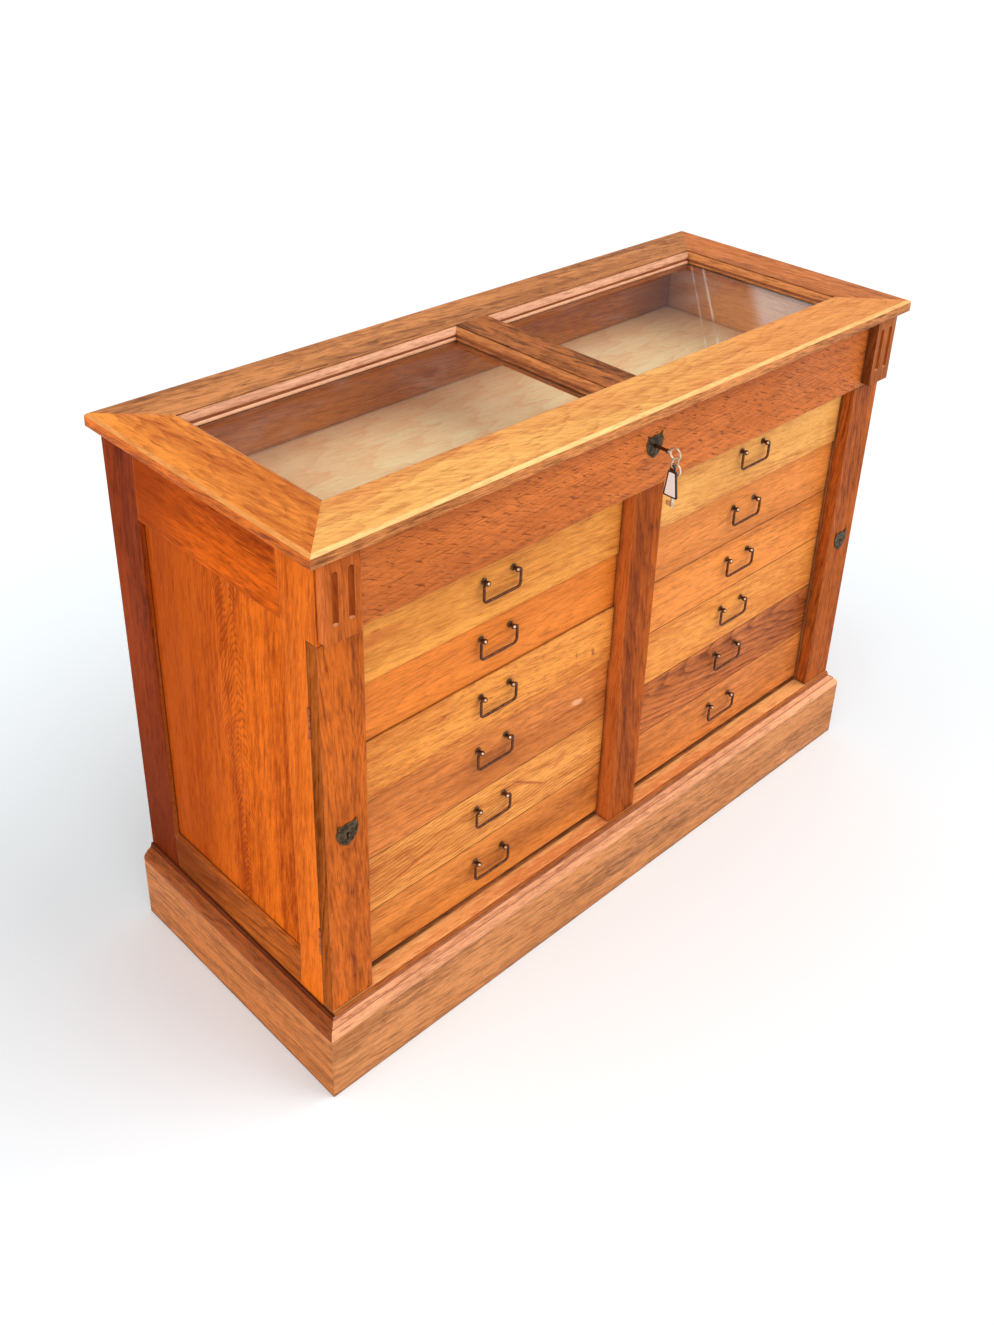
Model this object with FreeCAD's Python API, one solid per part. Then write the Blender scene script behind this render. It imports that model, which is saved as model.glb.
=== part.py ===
import FreeCAD, Part
import math
import os

from FreeCAD import Vector

# Shop display cabinet: a glazed display top over two banks of drawers.
# Millimetres. X to the right, Y to the back, Z up. The origin lies on the
# floor, in the middle of the lid's length and depth.

# Overall sizes
lid_length = 1320.0
lid_depth = 520.0
overall_height = 956.0

# Lid frame
lid_edge_thickness = 21.0
lid_side_overhang = 22.0
lid_front_overhang = 26.0
lid_front_rail = 98.0
lid_back_rail = 89.0
lid_end_rail = 92.0
lid_drop = 9.0
lid_drop_clearance = 2.0
lid_seat_gap = 0.5
lid_top_radius = 6.0
lid_under_radius = 2.0
muntin_width = 67.0

# Glass and glazing beads
glass_thickness = 3.0
glass_below_top = 20.0
glass_rebate = 9.0
glass_edge_clearance = 1.0
bead_width = 14.0
bead_below_top = 2.0
bead_fillet = 1.5
bead_quirk = 1.6
bead_small_width = 3.0
bead_small_height = 4.5

# Case
side_thickness = 24.0
frieze_thickness = 24.0
frieze_height = 130.5
back_thickness = 19.0
display_floor_thickness = 8.0

# Side frames and panels
side_front_stile = 52.0
side_back_stile = 78.5
side_top_rail = 125.0
side_bottom_rail = 67.5
side_chamfer = 5.0
side_recess = 7.0
side_panel_thickness = 9.0
panel_groove = 8.0
panel_slack = 1.5

# Back frame and panels
back_end_stile = 80.0
back_middle_stile = 90.0
back_bottom_rail = 110.0
back_panel_thickness = 8.0
back_recess = 6.0

# Plinth and bottom board
plinth_height = 119.0
plinth_projection = 20.0
plinth_board = 26.0
moulding_height = 27.5
moulding_depth = 16.0
moulding_torus_height = 14.5
moulding_torus_depth = 7.0
moulding_torus_bulge = 2.6
moulding_fillet = 2.0
moulding_hollow_sag = 3.0
board_lip = 6.0
board_nosing = 4.0
board_nosing_radius = 2.5
bottom_board_thickness = 24.0
ledger_width = 25.0
centre_bearer_thickness = 22.0
corner_block_leg = 60.0

# Locking stiles, centre post and fluted blocks
stile_width = 74.0
stile_thickness = 22.5
stile_joint_gap = 0.5
stile_end_gap = 1.0
post_width = 66.0
post_depth = 50.0
block_width = 57.0
block_proud = 17.5
block_margin = 2.5
block_above_frieze_bottom = 8.0
flute_width = 10.0
flute_depth = 4.0
flute_pitch = 25.5
flute_foot_margin = 29.5
flute_top_margin = 24.5

# Drawers
drawer_rows = 6
drawer_height_shares = {"left": (110.0, 99.0, 105.5, 112.0, 104.5, 105.5),
                        "right": (106.0, 103.0, 101.5, 107.0, 108.0, 111.0)}
drawer_recess = 27.5
space_under_drawers = 10.5
space_over_drawers = 6.0
drawer_gap = 1.5
drawer_side_clearance = 0.8
drawer_front_thickness = 22.0
drawer_side_thickness = 12.0
drawer_back_thickness = 12.0
drawer_bottom_thickness = 6.0
drawer_bottom_rise = 8.0
drawer_bottom_groove = 5.0
drawer_side_height = 90.0
drawer_side_rise = 4.0
drawer_back_space = 16.0
dovetail_depth = 15.0
dovetail_count = 3
dovetail_width = 18.0
dovetail_flare = 3.0
drawers_standing_proud = {"left": (1, 3), "right": (1,)}
proud_by = 3.0

# Uprights and runners
upright_depth = 40.0
upright_behind_drawer = 10.0
runner_height = 9.2
runner_clearance = 0.4
runner_end_clearance = 0.5
runner_reach = 5.5
runner_housing = 8.0
runner_front_gap = 4.5
runner_rise = 49.0

# Drawer pulls
pull_heights_in_drawer = {"left": (71.0, 70.0, 73.0, 83.0, 71.0, 68.0),
                          "right": (75.0, 68.0, 66.0, 70.0, 79.0, 74.0)}
pull_post_spacing = 58.4
pull_standoff = 9.3
rose_radius = 5.2
rose_thickness = 1.6
stem_radius = 2.9
post_ball_radius = 4.3
spigot_radius = 2.0
nut_radius = 5.0
nut_thickness = 4.0
bail_width = 72.8
bail_drop = 30.2
bail_wire_radius = 2.2
bail_top_bend = 3.0
bail_bottom_bend = 7.0
bail_end_inset = 2.5
bail_end_gap = 0.4
bail_clearance = 0.09

# Butt hinges
hinge_knuckle_radius = 2.2
hinge_pin_radius = 1.1
hinge_bore_clearance = 0.06
hinge_leaf_thickness = 1.5
hinge_knuckle_gap = 0.3
hinge_relief = 0.4
hinge_stand_out = 0.4
hinge_knuckles = 5
stile_hinge_length = 50.0
stile_hinge_leaf = 19.0
stile_hinge_heights = (280.0, 674.0)
lid_hinge_length = 75.0
lid_hinge_leaf = 14.0
lid_hinge_places = (-440.0, 0.0, 440.0)
screw_head_radius = 3.0
screw_shank_radius = 1.6
screw_length = 14.0
screws_per_leaf = 3

# Escutcheons and locks
shield_width = 38.0
shield_height = 41.0
shield_thickness = 1.6
shield_foot_drop = 21.0
shield_cheek_half = 13.5
shield_cheek_drop = 10.0
shield_shoulder_rise = 8.0
shield_waist_half = 15.8
shield_waist_rise = 14.2
shield_horn_half = 16.5
shield_dip = 3.8
shield_dip_half = 8.5
shield_peak_drop = 2.0
keyhole_radius = 3.0
keyhole_slot_width = 2.8
keyhole_slot_drop = 12.0
stile_lock_width = 44.0
stile_lock_height = 60.0
stile_lock_depth = 12.0
lid_lock_width = 60.0
lid_lock_height = 80.0
lid_lock_depth = 14.0
lock_wall = 1.5
lock_top_plate = 2.5
key_height_below_case_top = 58.5
bolt_width = 20.0
bolt_thickness = 5.4
bolt_clearance = 0.4
bolt_throw = 8.0
bolt_above_bit = 2.0
strike_width = 44.0
strike_depth = 14.0
strike_thickness = 2.0
strike_pocket = 10.0

# Keys, ring and tag
key_shank_radius = 2.7
key_shank_out = 31.0
key_bow_radius = 9.3
key_bow_wire = 1.7
key_collar_radius = 4.0
key_collar_width = 3.0
key_bit_drop = 11.0
key_bit_width = 7.5
key_bit_thickness = 2.0
key_tip_gap = 1.5
key_length = 74.0
ring_inner_radius = 7.2
ring_wall = 1.4
ring_width = 3.0
ring_play = 0.3
spare_key_offset = 4.0
tag_thickness = 2.4
tag_top_width = 15.0
tag_bottom_width = 27.0
tag_length = 44.0
tag_neck = 5.0
tag_offset = -2.5
tag_eye_radius = 2.6
tag_eye_wall = 2.0
tag_corner_radius = 2.2

# How near an edge must lie to a plane to be picked for rounding
tolerance = 0.01

# Derived places: the lid and the case
lid_half = lid_length / 2
lid_front = -lid_depth / 2
lid_back = lid_depth / 2
lid_under = overall_height - lid_edge_thickness
lid_drop_under = lid_under - lid_drop
case_top = lid_under - lid_seat_gap
case_half = lid_half - lid_side_overhang
case_inner = case_half - side_thickness
case_front = lid_front + lid_front_overhang
case_back = lid_back
frieze_bottom = case_top - frieze_height
frieze_back = case_front + frieze_thickness
back_front = case_back - back_thickness
opening_half = lid_half - lid_end_rail
opening_front = lid_front + lid_front_rail
opening_back = lid_back - lid_back_rail
glass_top = overall_height - glass_below_top
glass_under = glass_top - glass_thickness
display_floor_top = frieze_bottom + display_floor_thickness

# Derived places: the base
plinth_half = case_half + plinth_projection
plinth_front = case_front - plinth_projection
moulding_top = plinth_height + moulding_height
board_top = moulding_top + board_lip
board_under = board_top - bottom_board_thickness
board_front = case_front - board_nosing

# Derived places: stiles and drawers
stile_back = case_front + stile_thickness
side_front = stile_back + stile_joint_gap
stile_inner = case_half - stile_width
stile_foot = board_top + stile_end_gap
stile_top = frieze_bottom - stile_end_gap
post_half = post_width / 2
post_back = case_front + post_depth
drawer_plane = case_front + drawer_recess
drawer_stack = frieze_bottom - board_top - space_under_drawers - space_over_drawers
drawer_inner_end = post_half + drawer_side_clearance
drawer_outer_end = stile_inner - drawer_side_clearance
drawer_front_back = drawer_plane + drawer_front_thickness
drawer_back = back_front - drawer_back_space
pull_centre = (drawer_inner_end + drawer_outer_end) / 2


def block(x0, x1, y0, y1, z0, z1):
    return Part.makeBox(x1 - x0, y1 - y0, z1 - z0, Vector(x0, y0, z0))


def plan_prism(points, z0, z1):
    corners = [Vector(x, y, z0) for x, y in points]
    face = Part.Face(Part.makePolygon(corners + corners[:1]))
    return face.extrude(Vector(0, 0, z1 - z0))


def side_prism(points, x0, x1):
    corners = [Vector(x0, y, z) for y, z in points]
    face = Part.Face(Part.makePolygon(corners + corners[:1]))
    return face.extrude(Vector(x1 - x0, 0, 0))


def rod(radius, start, end):
    start = Vector(*start)
    run = Vector(*end) - start
    return Part.makeCylinder(radius, run.Length, start, run)


def arc(start, middle, end):
    return Part.Arc(start, middle, end).toShape()


def line(start, end):
    return Part.LineSegment(start, end).toShape()


def mirrored(shape):
    return shape.mirror(Vector(0, 0, 0), Vector(1, 0, 0))


def cut_all(shape, cutters):
    return shape.cut(cutters) if cutters else shape


def save(node, solids):
    whole = []
    for solid in solids:
        whole.extend(solid.Solids)
    for solid in whole:
        assert solid.isValid(), node
    Part.makeCompound(whole).exportStep("parts/" + node + ".step")


# Plinth: mitred boards, the bearers inside them and the moulding on top
def moulding_profile(to_space, depth):
    # Points are (distance in from the plinth's face, height above the plinth board).
    base = to_space(0, 0)
    torus_top = to_space(moulding_torus_depth, moulding_torus_height)
    along = math.hypot(moulding_torus_depth, moulding_torus_height)
    bulge_in = moulding_torus_depth / 2 - moulding_torus_bulge * moulding_torus_height / along
    bulge_up = moulding_torus_height / 2 + moulding_torus_bulge * moulding_torus_depth / along
    fillet_top_height = moulding_torus_height + moulding_fillet
    fillet_top = to_space(moulding_torus_depth, fillet_top_height)
    hollow_run = moulding_depth - moulding_torus_depth
    hollow_rise = moulding_height - fillet_top_height
    hollow_along = math.hypot(hollow_run, hollow_rise)
    hollow_in = moulding_torus_depth + hollow_run / 2 + moulding_hollow_sag * hollow_rise / hollow_along
    hollow_up = fillet_top_height + hollow_rise / 2 - moulding_hollow_sag * hollow_run / hollow_along
    hollow_top = to_space(moulding_depth, moulding_height)
    edges = [arc(base, to_space(max(bulge_in, 0), bulge_up), torus_top)]
    edges.append(line(torus_top, fillet_top))
    edges.append(arc(fillet_top, to_space(hollow_in, hollow_up), hollow_top))
    corner = hollow_top
    if depth > moulding_depth:
        corner = to_space(depth, moulding_height)
        edges.append(line(hollow_top, corner))
    heel = to_space(depth, 0)
    edges.append(line(corner, heel))
    edges.append(line(heel, base))
    return Part.Face(Part.Wire(edges))


def make_plinth():
    inner_half = plinth_half - plinth_board
    inner_front = plinth_front + plinth_board
    inner_back = case_back - plinth_board
    front_plan = [(-plinth_half, plinth_front), (plinth_half, plinth_front),
                  (inner_half, inner_front), (-inner_half, inner_front)]
    side_plan = [(plinth_half, plinth_front), (plinth_half, case_back),
                 (inner_half, case_back), (inner_half, inner_front)]
    side = plan_prism(side_plan, 0, plinth_height)
    solids = [plan_prism(front_plan, 0, plinth_height), side, mirrored(side)]
    solids.append(block(-inner_half, inner_half, inner_back, case_back, 0, plinth_height))

    ledger_front = inner_front + ledger_width
    ledger_back = inner_back - ledger_width
    ledger_half = inner_half - corner_block_leg
    ledger_under = board_under - ledger_width
    solids.append(block(-ledger_half, ledger_half, inner_front, ledger_front, ledger_under, board_under))
    solids.append(block(-ledger_half, ledger_half, ledger_back, inner_back, ledger_under, board_under))
    bearer_half = centre_bearer_thickness / 2
    bearer = block(-bearer_half, bearer_half, inner_front, inner_back, 0, board_under)
    solids.append(bearer.cut(solids[-2:]))

    for x_side in (-1, 1):
        x = x_side * inner_half
        leg = x_side * corner_block_leg
        front_corner = [(x, inner_front), (x - leg, inner_front), (x, inner_front + corner_block_leg)]
        back_corner = [(x, inner_back), (x - leg, inner_back), (x, inner_back - corner_block_leg)]
        solids.append(plan_prism(front_corner, 0, plinth_height))
        solids.append(plan_prism(back_corner, 0, plinth_height))

    front_face = moulding_profile(
        lambda d, h: Vector(-plinth_half, plinth_front + d, plinth_height + h), moulding_depth)
    front_bar = front_face.extrude(Vector(2 * plinth_half, 0, 0))
    inset = plinth_half - moulding_depth
    front_wedge = [(-plinth_half, plinth_front), (plinth_half, plinth_front),
                   (inset, plinth_front + moulding_depth), (-inset, plinth_front + moulding_depth)]
    solids.append(front_bar.common(plan_prism(front_wedge, 0, overall_height)))
    side_face = moulding_profile(
        lambda d, h: Vector(plinth_half - d, plinth_front, plinth_height + h), plinth_projection)
    side_bar = side_face.extrude(Vector(0, case_back - plinth_front, 0))
    side_wedge = [(plinth_half, plinth_front), (plinth_half, case_back), (case_half, case_back),
                  (case_half, board_front), (inset, plinth_front + moulding_depth)]
    side_strip = side_bar.common(plan_prism(side_wedge, 0, overall_height))
    solids.extend([side_strip, mirrored(side_strip)])
    save("plinth", solids)


def make_bottom_board():
    wide = block(-case_half, case_half, board_front, side_front, board_under, board_top)
    nosed = [edge for edge in wide.Edges
             if edge.BoundBox.YMax < board_front + tolerance and edge.BoundBox.ZMin > board_top - tolerance]
    wide = wide.makeFillet(board_nosing_radius, nosed)
    narrow = block(-case_inner, case_inner, side_front, back_front, board_under, board_top)
    board = wide.fuse(narrow).removeSplitter()
    save("bottom_board", [board])


# Butt hinges: built with the pin along local W, the leaves reaching along U
# and the moving leaf on the V side, then set in place
def hinge(length, leaf_width, centre, u_axis, v_axis):
    half_gap = stile_joint_gap / 2
    start = hinge_knuckle_radius + hinge_relief
    reach = hinge_stand_out + leaf_width
    step = length / hinge_knuckles
    pieces = {"fixed": None, "moving": None, "screws_fixed": [], "screws_moving": []}
    for side, sign in (("fixed", -1), ("moving", 1)):
        v0 = min(sign * half_gap, sign * (half_gap + hinge_leaf_thickness))
        v1 = v0 + hinge_leaf_thickness
        leaf = block(start, reach, v0, v1, -length / 2, length / 2)
        bore = hinge_pin_radius + (hinge_bore_clearance if side == "moving" else 0)
        first = 0 if side == "fixed" else 1
        for turn in range(first, hinge_knuckles, 2):
            w0 = -length / 2 + turn * step + hinge_knuckle_gap / 2
            w1 = w0 + step - hinge_knuckle_gap
            tube = rod(hinge_knuckle_radius, (0, 0, w0), (0, 0, w1))
            leaf = leaf.fuse([tube, block(0, start, v0, v1, w0, w1)])
            leaf = leaf.cut(rod(bore, (0, 0, w0), (0, 0, w1)))
        for place in range(screws_per_leaf):
            w = length * ((place + 0.5) / screws_per_leaf - 0.5)
            u = (start + reach) / 2
            face = sign * half_gap
            seat = sign * (half_gap + hinge_leaf_thickness)
            tip = sign * (half_gap + screw_length)
            head = Part.makeCone(screw_head_radius, screw_shank_radius, hinge_leaf_thickness,
                                 Vector(u, face, w), Vector(0, sign, 0))
            screw = head.fuse(rod(screw_shank_radius, (u, seat, w), (u, tip, w)))
            leaf = leaf.cut(screw)
            pieces["screws_" + side].append(screw)
        pieces[side] = leaf.removeSplitter()
    pieces["pin"] = rod(hinge_pin_radius, (0, 0, -length / 2), (0, 0, length / 2))
    relief_radius = hinge_knuckle_radius + hinge_relief
    pieces["relief"] = rod(relief_radius, (0, 0, -length / 2 - hinge_relief),
                           (0, 0, length / 2 + hinge_relief))
    w_axis = u_axis.cross(v_axis)
    matrix = FreeCAD.Matrix(u_axis.x, v_axis.x, w_axis.x, centre.x,
                            u_axis.y, v_axis.y, w_axis.y, centre.y,
                            u_axis.z, v_axis.z, w_axis.z, centre.z, 0, 0, 0, 1)

    def settle(shape):
        moved = shape.copy()
        moved.transformShape(matrix)
        return moved

    for name in ("fixed", "moving", "pin", "relief"):
        pieces[name] = settle(pieces[name])
    for name in ("screws_fixed", "screws_moving"):
        pieces[name] = [settle(screw) for screw in pieces[name]]
    return pieces


def stile_hinges(x_side):
    centre_y = stile_back + stile_joint_gap / 2
    found = []
    for height in stile_hinge_heights:
        centre = Vector(x_side * (case_half + hinge_stand_out), centre_y, height)
        found.append(hinge(stile_hinge_length, stile_hinge_leaf, centre,
                           Vector(-x_side, 0, 0), Vector(0, -1, 0)))
    return found


def lid_hinges():
    centre_z = lid_under - lid_seat_gap / 2
    found = []
    for x in lid_hinge_places:
        centre = Vector(x, case_back + hinge_stand_out, centre_z)
        found.append(hinge(lid_hinge_length, lid_hinge_leaf, centre,
                           Vector(0, -1, 0), Vector(0, 0, 1)))
    return found


def fixed_metal(hinges):
    metal = []
    for one in hinges:
        metal.append(one["fixed"])
        metal.append(one["pin"])
        metal.extend(one["screws_fixed"])
    return metal


def moving_metal(hinges):
    metal = []
    for one in hinges:
        metal.append(one["moving"])
        metal.extend(one["screws_moving"])
    return metal


def reliefs(hinges):
    return [one["relief"] for one in hinges]


# Side frames and panels. The frame is seen in Y and Z and lies between
# case_inner and case_half; the hinged stile takes the place cut from its front
def side_opening():
    y0 = side_front + side_front_stile
    y1 = case_back - side_back_stile
    z0 = moulding_top + side_bottom_rail
    z1 = case_top - side_top_rail
    return y0, y1, z0, z1


def side_chamfer_tool():
    y0, y1, z0, z1 = side_opening()
    wires = []
    for x, inset in ((case_half, 0), (case_half - side_chamfer, side_chamfer)):
        corners = [(y0 + inset, z0 + inset), (y1 - inset, z0 + inset),
                   (y1 - inset, z1 - inset), (y0 + inset, z1 - inset)]
        points = [Vector(x, y, z) for y, z in corners]
        wires.append(Part.makePolygon(points + points[:1]))
    return Part.makeLoft(wires, True, True)


def side_panel():
    y0, y1, z0, z1 = side_opening()
    reach = panel_groove - side_chamfer - panel_slack
    outer = case_half - side_recess
    return block(outer - side_panel_thickness, outer, y0 - reach, y1 + reach, z0 - reach, z1 + reach)


def make_sides(hinges_left, hinges_right):
    y0, y1, z0, z1 = side_opening()
    y0 += side_chamfer
    y1 -= side_chamfer
    z0 += side_chamfer
    z1 -= side_chamfer
    outline = [(side_front, plinth_height), (y0, plinth_height), (y0, case_top),
               (case_front, case_top), (case_front, frieze_bottom), (side_front, frieze_bottom)]
    front_stile = side_prism(outline, case_inner, case_half)
    back_stile = block(case_inner, case_half, y1, case_back, plinth_height, case_top)
    top_rail = block(case_inner, case_half, y0, y1, z1, case_top)
    bottom_rail = block(case_inner, case_half, y0, y1, plinth_height, z0)
    groove = side_panel()
    slack = panel_slack
    box = groove.BoundBox
    groove = block(box.XMin, box.XMax, box.YMin - slack, box.YMax + slack, box.ZMin - slack, box.ZMax + slack)
    tools = [side_chamfer_tool(), groove]
    members = [member.cut(tools) for member in (front_stile, back_stile, top_rail, bottom_rail)]
    right = [members[0].cut(reliefs(hinges_right) + fixed_metal(hinges_right))] + members[1:]
    left = [mirrored(member) for member in members]
    left[0] = left[0].cut(reliefs(hinges_left) + fixed_metal(hinges_left))
    save("side_frames", left + right)
    save("side_panels", [side_panel(), mirrored(side_panel())])


def make_back(hinges):
    z0 = board_under
    rail_top = z0 + back_bottom_rail
    rail_under = frieze_bottom - display_floor_thickness
    top_rail = block(-case_inner, case_inner, back_front, case_back, rail_under, case_top)
    bottom_rail = block(-case_inner, case_inner, back_front, case_back, z0, rail_top)
    inner = case_inner - back_end_stile
    half = back_middle_stile / 2
    end_stile = block(inner, case_inner, back_front, case_back, rail_top, rail_under)
    middle_stile = block(-half, half, back_front, case_back, rail_top, rail_under)
    y1 = case_back - back_recess
    y0 = y1 - back_panel_thickness
    reach = panel_groove - panel_slack
    panel = block(half - reach, inner + reach, y0, y1, rail_top - reach, rail_under + reach)
    deep = panel_groove
    groove = block(half - deep, inner + deep, y0, y1, rail_top - deep, rail_under + deep)
    grooves = [groove, mirrored(groove)]
    hinge_tools = reliefs(hinges) + fixed_metal(hinges)
    frame = [top_rail.cut(grooves + hinge_tools)]
    frame.extend(piece.cut(grooves) for piece in (bottom_rail, end_stile, mirrored(end_stile), middle_stile))
    save("back_panelling", frame + [panel, mirrored(panel)])


# Frieze, fluted blocks and centre post
def keyhole(x, z, y0, y1):
    hole = rod(keyhole_radius, (x, y0, z), (x, y1, z))
    half = keyhole_slot_width / 2
    return hole.fuse(block(x - half, x + half, y0, y1, z - keyhole_slot_drop, z))


def lock_place():
    y1 = frieze_back
    y0 = y1 - lid_lock_depth
    z0 = case_top - lid_lock_height
    return y0, y1, z0, case_top


def make_frieze():
    y0, y1, z0, z1 = lock_place()
    half = lid_lock_width / 2
    rail = block(-case_inner, case_inner, case_front, frieze_back, frieze_bottom, case_top)
    rail = rail.cut([block(-half, half, y0, y1, z0, z1), keyhole(0, key_z, case_front, y0)])
    save("frieze_rail", [rail])

    outer = case_half - block_margin
    inner = outer - block_width
    z0 = frieze_bottom + block_above_frieze_bottom
    face = case_front - block_proud
    piece = block(inner, outer, face, case_front, z0, case_top)
    radius = (flute_width ** 2 / 4 + flute_depth ** 2) / (2 * flute_depth)
    middle = (inner + outer) / 2
    low = z0 + flute_foot_margin
    high = case_top - flute_top_margin
    for x in (middle - flute_pitch / 2, middle + flute_pitch / 2):
        y = face + flute_depth - radius
        flute = rod(radius, (x, y, low), (x, y, high))
        ends = [Part.makeSphere(radius, Vector(x, y, z)) for z in (low, high)]
        piece = piece.cut(flute.fuse(ends))
    save("fluted_blocks", [piece, mirrored(piece)])

    post = block(-post_half, post_half, case_front, post_back, board_top, frieze_bottom)
    save("centre_post", [post])


# Uprights beside the drawers, the runners housed in them, and the display floor
def drawer_pitch(bank, row):
    # Rows count from the top.
    shares = drawer_height_shares[bank]
    return (drawer_stack + drawer_gap) * shares[row - 1] / sum(shares)


def drawer_foot(bank, row):
    below = range(row + 1, drawer_rows + 1)
    return board_top + space_under_drawers + sum(drawer_pitch(bank, lower) for lower in below)


def make_runner_frames():
    back_upright_end = drawer_back + upright_behind_drawer
    back_upright_start = back_upright_end - upright_depth
    runner_start = drawer_front_back + runner_front_gap
    outer_front = block(stile_inner, case_inner, side_front, side_front + upright_depth,
                        board_top, frieze_bottom)
    outer_back = block(stile_inner, case_inner, back_upright_start, back_upright_end,
                       board_top, frieze_bottom)
    middle_front = block(-post_half, post_half, post_back, post_back + upright_depth,
                         board_top, frieze_bottom)
    middle_back = block(-post_half, post_half, back_upright_start, back_upright_end,
                        board_top, frieze_bottom)
    reach = drawer_side_clearance + runner_reach
    runners = []
    for bank in ("left", "right"):
        for row in range(1, drawer_rows + 1):
            z0 = drawer_foot(bank, row) + runner_rise - runner_height / 2
            z1 = z0 + runner_height
            outer = block(stile_inner - reach, stile_inner + runner_housing, runner_start,
                          back_upright_end, z0, z1)
            inner = block(post_half - runner_housing, post_half + reach, runner_start,
                          back_upright_end, z0, z1)
            pair = [outer, inner]
            runners.extend(mirrored(runner) if bank == "left" else runner for runner in pair)
    uprights = [outer_front, outer_back, mirrored(outer_front), mirrored(outer_back),
                middle_front, middle_back]
    save("drawer_runner_frames", [upright.cut(runners) for upright in uprights] + runners)


def make_display_floor():
    floor = block(-case_inner, case_inner, frieze_back, back_front, frieze_bottom, display_floor_top)
    save("display_floor", [floor])


# Lid: a mitred frame with a rebate below for the glass, and a centre muntin
def lid_ring():
    slab = block(-lid_half, lid_half, lid_front, lid_back, lid_under, overall_height)
    inner_half = case_inner - lid_drop_clearance
    drop = block(-inner_half, inner_half, frieze_back + lid_drop_clearance,
                 back_front - lid_drop_clearance, lid_drop_under, lid_under)
    opening = block(-opening_half, opening_half, opening_front, opening_back,
                    lid_drop_under, overall_height)
    rebate = block(-opening_half - glass_rebate, opening_half + glass_rebate,
                   opening_front - glass_rebate, opening_back + glass_rebate,
                   lid_drop_under, glass_top)
    return slab.fuse(drop).cut([opening, rebate])


def round_rim(rail):
    for radius, height in ((lid_top_radius, overall_height), (lid_under_radius, lid_under)):
        rim = []
        for edge in rail.Edges:
            box = edge.BoundBox
            level = abs(box.ZMin - height) < tolerance and box.ZLength < tolerance
            at_end = abs(box.XMin) > lid_half - tolerance and box.XLength < tolerance
            at_front = box.YMax < lid_front + tolerance
            at_back = box.YMin > lid_back - tolerance
            if level and (at_end or at_front or at_back):
                rim.append(edge)
        rail = rail.makeFillet(radius, rim)
    return rail


def make_lid(hinges):
    ring = lid_ring()
    outer = [(-lid_half, lid_front), (lid_half, lid_front), (lid_half, lid_back), (-lid_half, lid_back)]
    inner = [(-opening_half, opening_front), (opening_half, opening_front),
             (opening_half, opening_back), (-opening_half, opening_back)]
    half = bolt_width / 2 + bolt_clearance
    y0, y1, z0, z1 = lock_place()
    middle_y = (y0 + y1) / 2
    bolt_half = bolt_thickness / 2 + bolt_clearance
    pocket = block(-half, half, middle_y - bolt_half, middle_y + bolt_half,
                   lid_under, lid_under + strike_pocket)
    plate = block(-strike_width / 2, strike_width / 2, middle_y - strike_depth / 2,
                  middle_y + strike_depth / 2, lid_under, lid_under + strike_thickness)
    tools = [pocket, plate] + reliefs(hinges) + moving_metal(hinges)
    rails = []
    for side in range(4):
        after = (side + 1) % 4
        wedge = [outer[side], outer[after], inner[after], inner[side]]
        rail = ring.common(plan_prism(wedge, 0, overall_height))
        rails.append(round_rim(rail).cut(tools))
    bar_half = muntin_width / 2
    muntin = block(-bar_half, bar_half, opening_front, opening_back, glass_top, overall_height)
    web_half = bar_half - glass_rebate
    web = block(-web_half, web_half, opening_front - glass_rebate, opening_back + glass_rebate,
                lid_drop_under, glass_top)
    save("lid_frame", rails + [muntin.fuse(web).removeSplitter()])
    save("lid_hinge_leaves", moving_metal(hinges) + [plate.cut(pocket)])


def bead_face(origin, inward):
    # Height runs up from the glass, width runs inward from the edge of the opening.
    height = glass_below_top - bead_below_top
    ovolo_end = bead_width - bead_small_width
    ovolo_foot = bead_small_height + bead_quirk
    ovolo_run = ovolo_end - bead_fillet
    ovolo_rise = height - ovolo_foot
    turn = math.sqrt(0.5)

    def at(width, up):
        return origin + inward * width + Vector(0, 0, up)

    crown = at(bead_fillet + ovolo_run * turn, ovolo_foot + ovolo_rise * turn)
    edges = [line(at(0, 0), at(0, height)), line(at(0, height), at(bead_fillet, height))]
    edges.append(arc(at(bead_fillet, height), crown, at(ovolo_end, ovolo_foot)))
    edges.append(line(at(ovolo_end, ovolo_foot), at(ovolo_end, bead_small_height)))
    round_start = bead_small_height - bead_small_width
    small_crown = at(ovolo_end + bead_small_width * turn, round_start + bead_small_width * turn)
    edges.append(arc(at(ovolo_end, bead_small_height), small_crown, at(bead_width, round_start)))
    edges.append(line(at(bead_width, round_start), at(bead_width, 0)))
    edges.append(line(at(bead_width, 0), at(0, 0)))
    return Part.Face(Part.Wire(edges))


def mitred_strips(x0, x1, y0, y1, width, make_face):
    strips = []
    corners = [(x0, y0), (x1, y0), (x1, y1), (x0, y1)]
    inner = [(x0 + width, y0 + width), (x1 - width, y0 + width),
             (x1 - width, y1 - width), (x0 + width, y1 - width)]
    for side in range(4):
        after = (side + 1) % 4
        start = Vector(corners[side][0], corners[side][1], 0)
        end = Vector(corners[after][0], corners[after][1], 0)
        run = end - start
        inward = Vector(0, 0, 1).cross(run).normalize()
        bar = make_face(start, inward).extrude(run)
        wedge = [corners[side], corners[after], inner[after], inner[side]]
        strips.append(bar.common(plan_prism(wedge, 0, overall_height)))
    return strips


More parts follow.
